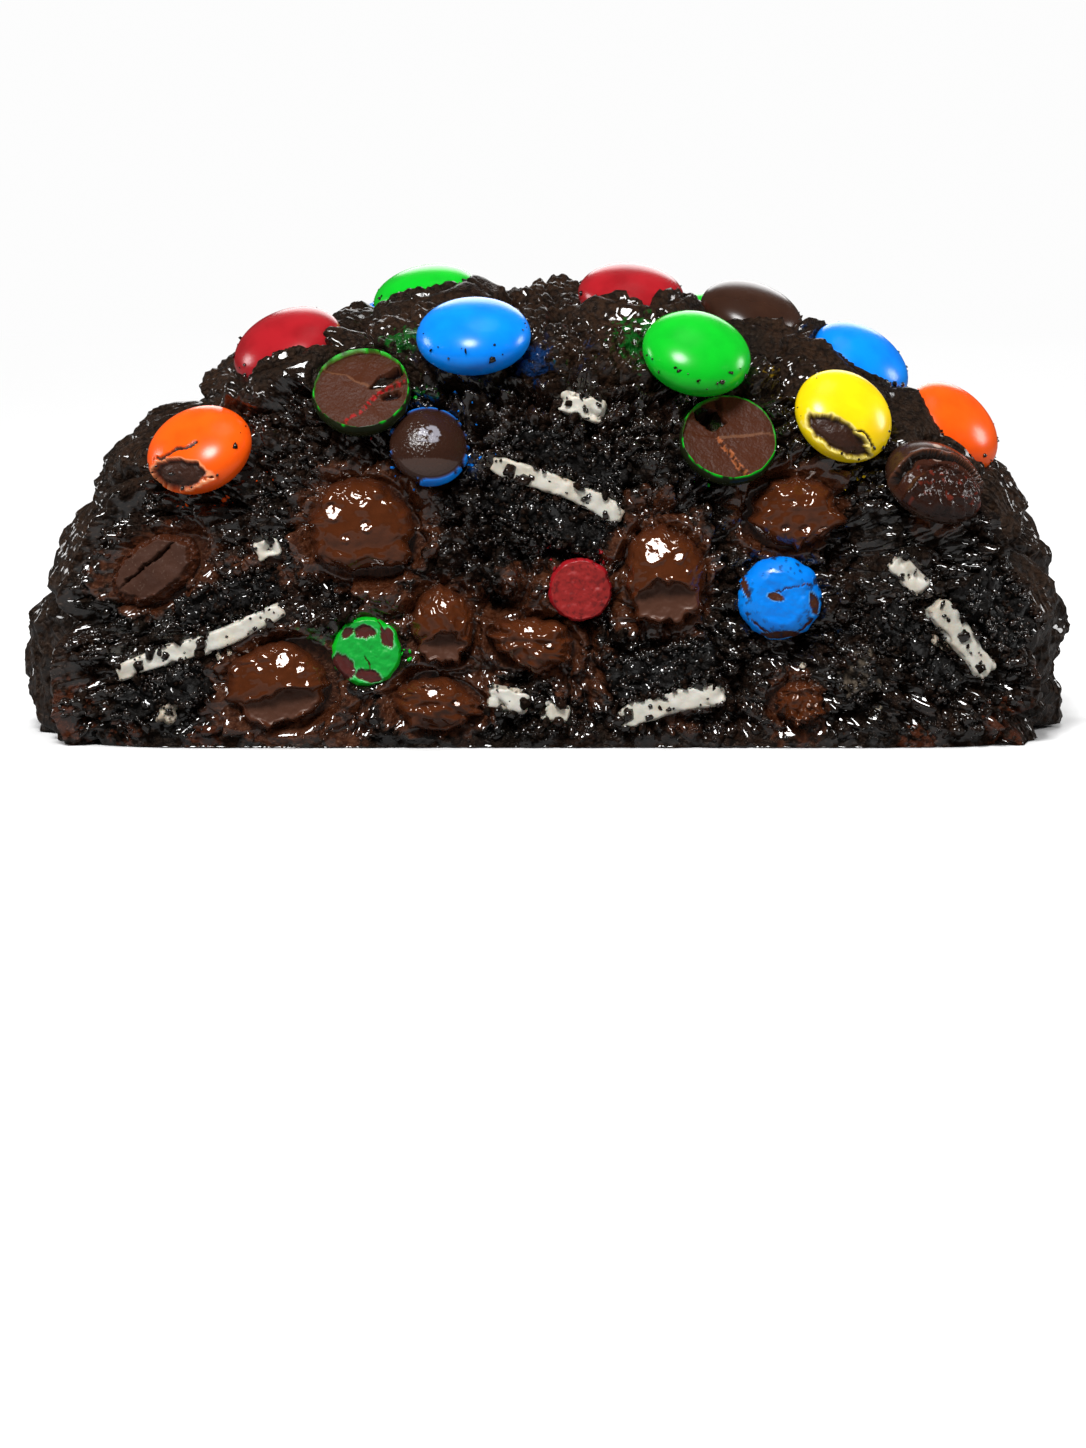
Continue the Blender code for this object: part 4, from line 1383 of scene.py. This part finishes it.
# A sweet whose shell is gone but for strips along its rim
def makePeeledSweet(name="peeled_sweet"):
    points, triangles = ballGrid(*grids["broken"])
    masks = emptyMasks(len(points))
    u, v, w = points.T
    angle = np.degrees(np.arctan2(v, u))
    radius = np.hypot(u, v)
    low = smoothStep(75.0, 25.0, np.abs(angle + 62.0))
    high = 0.75 * smoothStep(70.0, 20.0, np.abs(angle - 80.0))
    strips = np.maximum(low, high) + 1.2 * raggedness(u, v, 2.0, 0.15) - 0.1
    inner = 0.955 - 0.035 * low
    shell = smoothStep(0.30, 0.42, strips) * smoothStep(inner, inner + 0.02, radius) * (w > -0.35)
    masks["inside"] = 1.0 - shell
    masks["gloss"] = 0.26 * (1.0 - shell)
    paint(masks, paints["peeled"], 0.8 * (1.0 - shell))
    dents = (0.985 + 0.015 * noiseAt(points, 0.8))[:, None]
    local = points * (seats[name]["half"] * dents + 0.3 * shell[:, None])
    # The pale patch on the upper middle is a painted highlight with dark pits in it, not chocolate bloom
    pale = smoothStep(0.33, 0.27, np.hypot(u + 0.02, (v - 0.14) * 1.2) + 0.05 * raggedness(u, v, 17.0, 0.3))
    bloom = pale * (w > 0.0) * (1.0 - smoothStep(0.10, 0.30, raggedness(u, v, 8.0, 0.14)))
    paint(masks, paints["bloom"], np.where(bloom > 0.4, 0.81 + 0.1 * bloom, 0.0))
    # painted reflection: a greyish band along the lower part
    band = smoothStep(-0.42, -0.50, v + 0.06 * u) * (w > 0.0) * smoothStep(0.95, 0.9, radius)
    paint(masks, paints["peeledBand"], 0.85 * band)
    addPiece(name, local, triangles, masks)


# A brown sweet whose shell gapes along a jagged arch, with rough chocolate below it
def makeCrackedSweet(name="cracked_sweet"):
    half = seats[name]["half"]
    points, triangles = ballGrid(*grids["broken"])
    masks = emptyMasks(len(points))
    u, v = points[:, 0], points[:, 1]
    front = points[:, 2] > -0.1
    arch = 0.34 - 0.54 * u ** 2 - 0.27 * u + 0.09 * raggedness(u, v, 3.0, 0.4)
    below = arch - v
    gape = smoothStep(0.0, 0.06, below) * front
    split = np.abs(below - 0.42 - 0.10 * u - 0.12 * raggedness(u, v, 11.0, 0.5))
    groove = smoothStep(0.10, 0.03, split) * smoothStep(-0.75, -0.35, u)
    underArch = smoothStep(0.19, 0.11, below + 0.05 * raggedness(u, v, 51.0, 0.3))
    lower = smoothStep(0.42, 0.52, below)
    rough = 0.22 * raggedness(u, v, 12.0, 0.3) + 0.45 * lower * raggedness(u, v, 14.0, 0.2)
    sink = gape * (0.35 - 0.25 * lower + 0.75 * underArch + 0.7 * groove + rough)
    sink -= 0.12 * smoothStep(-0.10, -0.01, below) * (1.0 - gape)
    masks["inside"] = gape
    masks["edge"] = smoothStep(-0.05, -0.02, below) * (1.0 - gape) * front * 0.5
    masks["gloss"] = 0.2 * gape
    paint(masks, paints["underArch"], 0.85 * gape * (1.0 - lower))
    paint(masks, paints["lowerLobe"], 0.85 * gape * lower)
    # painted glints: wine-red spots scattered over the open chocolate
    paint(masks, paints["wineGrains"], 0.88 * gape * (raggedness(u, v, 31.0, 0.16) > 0.42))
    # painted highlight: a pale patch on the chocolate under the arch
    window = smoothStep(0.14, 0.10, np.hypot(u + 0.08, (v - 0.14) * 1.8))
    paint(masks, paints["window"], 0.9 * window * gape)
    # painted shade: near black in the gap right under the shell's edge and in the groove
    dark = smoothStep(-0.015, 0.02, below) * np.maximum(underArch, groove)
    paint(masks, paints["gap"], 0.97 * front * dark)
    nick = smoothStep(0.10, 0.07, np.hypot(u - 0.14, v - 0.50) + 0.03 * raggedness(u, v, 41.0, 0.3))
    paint(masks, paints["nick"], 0.97 * nick * front)
    local = points * half - units(points / half) * sink[:, None]
    addPiece(name, local, triangles, masks)


# Sweets sunk in the crumb, with their shells scraped flat by the break
sunkLooks = {  # height and slant of the flat, scuffs, speckles, and whether its holes are patches
    "sunk_sweet_red": {"flat": 0.42, "rise": 0.05, "scuff": 0.85, "speckled": 0.5, "patched": False,
                       "streak": (0.11, 0.008, 0.009)},
    "sunk_sweet_blue": {"flat": 0.80, "rise": 0.0, "scuff": 0.15, "speckled": 0.0, "patched": False,
                        "streak": (0.01, 0.02, 0.06)},
    "sunk_sweet_green": {"flat": 0.45, "rise": 0.0, "scuff": 0.8, "speckled": 0.0, "patched": True,
                         "streak": (0.09, 0.009, 0.018)},
}


def makeSunkSweet(name):
    half, look = seats[name]["half"], sunkLooks[name]
    points, triangles = ballGrid(*grids["sunk"])
    masks = emptyMasks(len(points))
    u, v = points[:, 0], points[:, 1]
    front = points[:, 2] > 0.0
    local = outlined(points, half, 1.0 + 0.045 * raggedness(u, v, 6.0, 0.4))
    plane = half[2] * (look["flat"] + look["rise"] * v) + 0.12 * raggedness(u, v, 13.0, 0.25)
    cut = (local[:, 2] > plane) & front
    local[cut, 2] = plane[cut]
    local[:, 2] -= cutHoles(name, u, v, masks) * front
    masks["scuff"] = look["scuff"] * cut * (1.0 - masks["inside"])
    if look["patched"]:
        spots = masks["inside"] * front
        masks["inside"] = 0.2 * spots
    else:
        outer = smoothStep(0.45, 0.9, np.hypot(u, v)) * front
        spots = smoothStep(0.22, 0.4, raggedness(u, v, 21.0, 0.13)) * np.maximum(outer, look["speckled"])
    paint(masks, look["streak"], 0.97 * spots)
    masks["gloss"] = 0.1 * spots
    addPiece(name, local, triangles, masks)


for name in wholeSweets:
    makeWholeSweet(name)
for name in tornFaces:
    makeTornSweet(name)
makePeeledSweet()
makeCrackedSweet()
for name in sunkSweets:
    makeSunkSweet(name)
print("sweets made")


# Melted and broken chocolate
melts = {  # facet: height and slope of the line below which it is flat, and how deep; pools: u, v and size
    "melt_upper_left": {"facet": None, "folds": 0.30, "skirt": 0.16,
                        "pools": [(-0.52, 0.30, 0.17), (-0.05, 0.62, 0.09), (0.10, 0.02, 0.10),
                                  (-0.28, -0.22, 0.08)]},
    "melt_centre": {"facet": (-0.12, 0.10, 0.62), "folds": 0.22, "skirt": 0.14,
                    "pools": [(-0.22, 0.50, 0.24), (0.35, 0.42, 0.12), (0.55, 0.15, 0.08)]},
    "melt_upper_right": {"facet": None, "folds": 0.45, "skirt": 0.20,
                         "pools": [(-0.30, -0.42, 0.12), (0.15, -0.55, 0.15), (-0.05, 0.25, 0.09)]},
    "melt_lower_left": {"facet": (-0.06, 0.12, 0.58), "folds": 0.25, "skirt": 0.16,
                        "pools": [(0.10, 0.62, 0.17), (0.45, 0.42, 0.11), (-0.35, 0.40, 0.09)]},
    "melt_middle": {"facet": None, "folds": 0.50, "skirt": 0.22,
                    "pools": [(-0.25, 0.50, 0.15), (0.3, 0.1, 0.12)]},
    "melt_low": {"facet": None, "folds": 0.55, "skirt": 0.20,
                 "pools": [(-0.1, 0.45, 0.17), (0.45, 0.2, 0.10)]},
    "chip_middle": {"facet": (-0.1, 0.0, 0.62), "folds": 0.35, "skirt": 0.16, "pools": [(0.0, 0.5, 0.14)]},
    "chip_right": {"facet": None, "folds": 0.5, "skirt": 0.20,
                   "pools": [(-0.2, 0.3, 0.14), (0.3, -0.1, 0.12)]},
}
poolFacing = unit(np.array((-0.06, -0.86, 0.51)))  # where the level pools of melted chocolate face


def makeMelt(name):
    seat, look = seats[name], melts[name]
    points, triangles = ballGrid(*grids["melt"])
    half = seat["half"]
    u, v = points[:, 0], points[:, 1]
    radius = np.hypot(u, v)
    front = points[:, 2] > 0.0
    seed = seat["centre"][0] * 0.37
    around = units(points[:, :2])
    rimPlace = np.column_stack((around, np.full(len(u), seed)))
    outline = look["skirt"] * fractalAt(rimPlace, 0.6)
    outline += look["skirt"] * 0.8 * smoothStep(0.15, 0.55, noiseAt(rimPlace, 0.3)) * (v < 0.1)
    local = outlined(points, half, 1.0 + outline * smoothStep(0.35, 1.0, radius))
    local[front, 2] = half[2] * np.sqrt(np.maximum(0.0, 1.0 - radius[front] ** 2.6))
    edge = smoothStep(0.55, 0.95, radius)
    flatPlace = np.column_stack((u, v, np.full(len(u), seed)))
    swell = look["folds"] * (1.5 * noiseAt(flatPlace, 0.5) + 1.0 * noiseAt(flatPlace, 0.25))
    ripples = 0.35 * noiseAt(np.column_stack((around * 3.2, radius * 4.0)), 1.0)
    curl = 0.25 * smoothStep(1.0, 0.9, radius)
    drops = 0.5 * (lumpsAt(flatPlace, 0.34, 1.0) + 0.2) * smoothStep(0.45, 0.85, radius)
    local[:, 2] += np.where(front, swell + (ripples + curl) * edge + drops, 0.0)
    facing = seat["ways"] @ poolFacing
    for poolU, poolV, size in look["pools"]:
        away = np.hypot(u - poolU, v - poolV) / size + 0.35 * raggedness(u, v, seed + poolU, 0.3)
        level = half[2] * math.sqrt(1.0 - math.hypot(poolU, poolV) ** 2.6)
        level = level - (local[:, 0] - poolU * half[0]) * facing[0] / facing[2]
        level = level - (local[:, 1] - poolV * half[1]) * facing[1] / facing[2]
        local[:, 2] += (level - local[:, 2]) * smoothStep(1.25, 0.85, away) * front
    matt = np.zeros(len(u))
    if look["facet"]:
        line, slope, deep = look["facet"]
        low = line + slope * u - 0.35 * u * u + 0.22 * raggedness(u, v, seed, 0.5) - v
        flat = half[2] * deep + 0.08 * raggedness(u, v, seed + 3.0, 0.3)
        matt = smoothStep(0.0, 0.14, low) * smoothStep(0.93, 0.80, radius + 0.1 * ripples) * front
        local[:, 2] += (np.minimum(local[:, 2], flat) - local[:, 2]) * matt
        lip = smoothStep(-0.12, -0.02, low) * smoothStep(0.1, 0.0, low)
        local[:, 2] += 0.12 * lip * front * (radius < 0.9)
    rim = 0.75 * smoothStep(0.80, 0.97, radius + 0.1 * raggedness(u, v, 4.0, 0.3))
    addPiece(name, local, triangles, {"matt": matt, "rim": rim})


# A broken lens of chocolate: a flat cracked face in a granular rim
def makeChunk(name="chunk_left"):
    half = seats[name]["half"]
    points, triangles = ballGrid(*grids["chunk"])
    u, v = points[:, 0], points[:, 1]
    radius = np.hypot(u, v)
    front = points[:, 2] > 0.0
    local = outlined(points, half, 1.0 + 0.10 * raggedness(u, v, 2.0, 0.5))
    inner = smoothStep(0.82, 0.74, radius + 0.10 * raggedness(u, v, 7.0, 0.35))
    flat = half[2] * 0.50 + 0.25 * u - 0.1 * v + 0.10 * raggedness(u, v, 9.0, 0.5)
    crumbly = 0.55 * raggedness(u, v, 15.0, 0.13) + 0.35 * raggedness(u, v, 16.0, 0.35)
    rough = half[2] * 0.62 * np.sqrt(np.maximum(0.0, 1.0 - radius ** 2.2)) + crumbly
    step = 0.30 * smoothStep(-0.02, 0.02, v - 0.22 - 0.25 * u + 0.06 * raggedness(u, v, 23.0, 0.2))
    crack = np.abs(v - 0.20 - 0.22 * u + 0.09 * raggedness(u, v, 19.0, 0.25))
    groove = smoothStep(0.05, 0.02, crack) * smoothStep(0.8, 0.5, np.abs(u))
    face = rough + (flat + step - rough) * inner - 0.8 * groove * inner
    local[front, 2] = face[front]
    addPiece(name, local, triangles, {"rim": 1.0 - inner})


for name in melts:
    makeMelt(name)
makeChunk()
print("chocolate made")


# Cream and black biscuit
slabGrid = {"step": (0.32, 0.32, 0.7), "creamRounding": 0.55, "waferRounding": 0.6}
paleWafers = ["wafer_bit"]


def makeCream(name):
    seat = seats[name]
    half = seat["half"]
    local, normals, triangles = boxGrid(half, slabGrid["step"], slabGrid["creamRounding"])
    world = toWorld(seat, local)
    nibble = np.maximum(0.0, fractalAt(world, 1.5) - 0.12)
    tips = smoothStep(0.80, 1.0, np.abs(local[:, 0]) / half[0])
    edges = smoothStep(0.45, 1.0, np.abs(local[:, 1]) / half[1])
    rough = 0.16 * noiseAt(world, 1.3) + 0.06 * noiseAt(world, 0.4) - 0.14
    small = half[0] < 3.0
    local = local + normals * (rough - nibble * (0.2 + 1.4 * small + 0.5 * edges + 0.6 * tips))[:, None]
    ends = np.column_stack((local[:, 0] / 5.0, np.full((len(local), 2), seat["centre"][0])))
    uneven = np.clip(0.98 + 0.30 * noiseAt(ends, 1.0) - 0.30 * tips, 0.6, 1.15)
    local[:, 1] *= 0.5 + 0.5 * uneven if small else uneven
    local[:, 1] += 0.3 * min(1.0, half[0] / 4.0) * np.sin(local[:, 0] / 3.0 + seat["centre"][0])
    bits = smoothStep(0.16, 0.42, fractalAt(world + 50.0, 1.15))
    dust = (0.06 + 0.42 * edges + 0.35 * tips) * bits + 0.4 * nibble * edges
    soak = 0.5 * edges * smoothStep(-0.1, 0.4, noiseAt(world, 2.0)) + 0.3 * tips
    addPiece(name, local, triangles, {"dust": np.clip(dust, 0.0, 1.0), "soak": soak})


def makeWafer(name):
    seat = seats[name]
    local, normals, triangles = boxGrid(seat["half"], slabGrid["step"], slabGrid["waferRounding"])
    world = toWorld(seat, local)
    outward = smoothStep(-0.2, 0.8, local[:, 2] / seat["half"][2])
    rough = lumpsAt(world, 0.95, 0.55) + lumpsAt(world, 2.6, 0.9) + 0.35 * fractalAt(world, 3.0)
    local = local + normals * ((rough - 0.35) * (0.3 + 0.7 * outward))[:, None]
    pale = 0.75 * (name in paleWafers) * smoothStep(-0.2, 0.35, fractalAt(world, 1.6))
    addPiece(name, local, triangles, {"pale": pale})


for name in slabs:
    (makeCream if name.startswith("cream") else makeWafer)(name)
print("cream and biscuit made")


# Crumbs stuck on the cream, the biscuit and the sweets
stuck = {  # number on each square millimetre, or on each sweet
    "creamCrumbs": {"on": "cream", "number": 0.95, "size": (0.12, 0.62), "levels": 2},
    "biscuitGrains": {"on": "wafer", "number": 4.0, "size": (0.16, 0.48), "levels": 1},
    "sweetCrumbs": {"on": "sweet", "number": 16, "size": (0.10, 0.34), "levels": 1},
}


def placesOnSlab(half, number):
    count = int(4.0 * half[0] * half[1] * number)
    spots = (draw.random((count, 3)) * 2.0 - 1.0) * half
    side = draw.random(count) < 0.45
    spots[side, 1] = np.sign(spots[side, 1]) * half[1] * (0.86 + 0.3 * draw.random(side.sum()))
    spots[:, 2] = half[2] - 0.25 + 0.2 * draw.random(count)
    return spots


# Mostly round the lower rim, where the dough held the sweet
def placesOnSweet(half, number):
    around = np.radians(draw.normal(-90.0, 55.0, number))
    tilt = np.radians(draw.uniform(58.0, 86.0, number))
    flat = np.sin(tilt)
    return np.column_stack((flat * np.cos(around), flat * np.sin(around), np.cos(tilt))) * half


for name, row in stuck.items():
    choose = placesOnSweet if row["on"] == "sweet" else placesOnSlab
    holders = [holder for holder in seats if holder.startswith(row["on"])]
    places = np.concatenate([toWorld(seats[holder], choose(seats[holder]["half"], row["number"]))
                             for holder in holders])
    sizes = drawSizes(row["size"], len(places))
    places[:, 2] = np.maximum(places[:, 2], sizes * 1.3)
    makeGrains(name, places, sizes, "dough", row["levels"])


# Bits of coloured shell that lie on the dough beside the broken sweets
bitSizes = (0.12, 0.38)
shellBits = {  # slot, and x, z, spread and number of each sprinkling
    "orangeBits": ("orange_shell", [(-41.5, 28.9, 1.3, 7), (-37.2, 29.3, 1.0, 5), (-33.2, 31.0, 0.8, 4)]),
    "blueBits": ("blue_shell", [(-9.0, 33.0, 1.1, 9), (-10.5, 39.2, 1.2, 6), (-17.0, 31.2, 0.8, 3),
                                (23.8, 13.5, 0.9, 6), (29.8, 14.4, 0.9, 6), (23.2, 19.5, 0.6, 3),
                                (30.6, 19.5, 0.6, 3)]),
    "greenBits": ("green_shell", [(-15.5, 40.0, 0.9, 6), (18.0, 30.6, 0.9, 4), (-24.2, 9.6, 0.9, 5),
                                  (-17.0, 10.8, 0.7, 5), (-22.0, 7.4, 0.7, 3)]),
    "redBits": ("red_shell", [(1.6, 21.6, 1.0, 8), (6.0, 20.8, 0.9, 7), (0.2, 17.6, 0.6, 4),
                              (-22.2, 36.8, 1.0, 5)]),
    "yellowBits": ("yellow_shell", [(35.2, 31.2, 0.8, 4), (27.4, 42.2, 0.9, 3)]),
}


# The point of the broken face in front of x and z
def faceSpot(x, z):
    return facePoints[faceDistance(facePoints, x, z).argmin()]


for name, (slot, groups) in shellBits.items():
    places = []
    for x, z, spread, count in groups:
        shifts = draw.normal(size=(count, 2)) * spread
        places += [faceSpot(x + dx, z + dz) for dx, dz in shifts]
    sizes = drawSizes(bitSizes, len(places))
    makeGrains(name, np.array(places), sizes, slot, 1, unevenness=0.5)

nibs = [(-44.1, 4.2, 1.35), (44.6, 12.4, 0.75), (45.6, 11.6, 0.5), (-38.2, 10.4, 0.5), (-36.9, 11.1, 0.4),
        (38.4, 4.6, 0.4), (29.5, 9.4, 0.35)]  # x, z and size of small pale bits
nibPlaces = np.array([faceSpot(x, z) + (0.0, -0.35 * size, 0.0) for x, z, size in nibs])
nibPiece = makeGrains("paleNibs", nibPlaces, np.array([size for *_, size in nibs]), "cream", 4)
addMask(nibPiece, "dust", np.full(len(nibPiece.data.vertices), 0.36))
addMask(nibPiece, "soak", np.full(len(nibPiece.data.vertices), 0.6))
print("bits and crumbs made")


# Floor, light and camera
studio = {
    "target": (-0.6, -20.5, 2.8),
    "distance": 700.0,
    "elevation": 8.0,
    "lens": 150.8,
    "roomLight": 0.12,
    "roomReflection": 0.05,
    "floor": (0.90, 0.90, 0.90),
    "background": (0.98, 0.98, 0.98),
    "floorReflection": 0.22,  # how pale the floor is for what it lights
    "floorFade": (0.16, 0.62),  # metres from the middle, where the floor turns from shaded to plain white
    "lampTarget": (0.0, 0.0, 0.02),  # in metres
}
lamps = {  # place in metres, width, power in watts, and whether it shows in glossy things
    "frontLamp": ((-0.10, -0.44, 0.58), 0.22, 4.8, True),
    "topLamp": ((0.06, 0.02, 0.70), 0.30, 1.7, False),
    "leftLamp": ((-0.55, -0.30, 0.34), 0.12, 1.1, False),
    "rightLamp": ((0.55, -0.26, 0.34), 0.12, 1.1, False),
    "backLamp": ((0.05, 0.76, 0.36), 0.50, 2.0, True),
    "leftRim": ((-0.62, 0.12, 0.24), 0.20, 1.2, True),
    "rightRim": ((0.62, 0.12, 0.24), 0.20, 1.2, True),
}


def mixShaders(tree, share, name, other, output):
    mix = tree.nodes.new("ShaderNodeMixShader")
    tree.links.new(share, mix.inputs[0])
    tree.links.new(tree.nodes[name].outputs[0], mix.inputs[1])
    tree.links.new(other.outputs[0], mix.inputs[2])
    tree.links.new(mix.outputs[0], tree.nodes[output].inputs["Surface"])


def makeFloor():
    bpy.ops.mesh.primitive_plane_add(size=8.0, location=(0.0, 0.0, -0.0001))
    floor = bpy.context.active_object
    floor.name = "floor"
    material, tree = newMaterial("paleFloor")
    seen = tree.nodes.new("ShaderNodeLightPath").outputs["Is Camera Ray"]
    dim = (studio["floorReflection"],) * 3
    colour = mixColour(tree, seen, dim, studio["floor"])
    dress(material, {"Base Color": colour, "Roughness": 0.8, "Specular IOR Level": 0.0})
    length = tree.nodes.new("ShaderNodeVectorMath")
    length.operation = "LENGTH"
    tree.links.new(objectPlace(tree), length.inputs[0])
    white = tree.nodes.new("ShaderNodeEmission")
    white.inputs["Color"].default_value = (*studio["background"], 1.0)
    far = remap(tree, length.outputs["Value"], *studio["floorFade"])
    mixShaders(tree, times(tree, far, seen), "Principled BSDF", white, "Material Output")
    floor.data.materials.append(material)


def makeWorld():
    world = bpy.data.worlds.new("studio")
    world.use_nodes = True
    tree = world.node_tree
    room = tree.nodes["Background"]
    room.inputs["Color"].default_value = (1.0, 1.0, 1.0, 1.0)
    seen = tree.nodes.new("ShaderNodeBackground")
    seen.inputs["Color"].default_value = (*studio["background"], 1.0)
    rays = tree.nodes.new("ShaderNodeLightPath")
    strength = remap(tree, rays.outputs["Is Glossy Ray"], 0.0, 1.0,
                     studio["roomLight"], studio["roomReflection"])
    tree.links.new(strength, room.inputs["Strength"])
    mixShaders(tree, rays.outputs["Is Camera Ray"], "Background", seen, "World Output")
    scene.world = world


def facing(way):
    return way.to_track_quat("-Z", "Y").to_euler()


def makeLamps():
    for name, (spot, width, power, glossy) in lamps.items():
        light = bpy.data.lights.new(name, "AREA")
        light.shape = "DISK"
        light.size = width
        light.energy = power
        lamp = bpy.data.objects.new(name, light)
        lamp.visible_camera = False
        lamp.visible_glossy = glossy
        lamp.location = spot
        lamp.rotation_euler = facing(Vector(studio["lampTarget"]) - Vector(spot))
        scene.collection.objects.link(lamp)


def makeCamera():
    target = Vector(studio["target"]) * mm
    up = math.radians(studio["elevation"])
    view = bpy.data.cameras.new("camera")
    view.lens = studio["lens"]
    view.sensor_width = 36.0
    camera = bpy.data.objects.new("camera", view)
    camera.location = target + Vector((0.0, -math.cos(up), math.sin(up))) * studio["distance"] * mm
    camera.rotation_euler = facing(target - camera.location)
    scene.collection.objects.link(camera)
    scene.camera = camera
    scene.view_settings.view_transform = "Standard"


makeFloor()
makeWorld()
makeLamps()
makeCamera()
print("studio made")
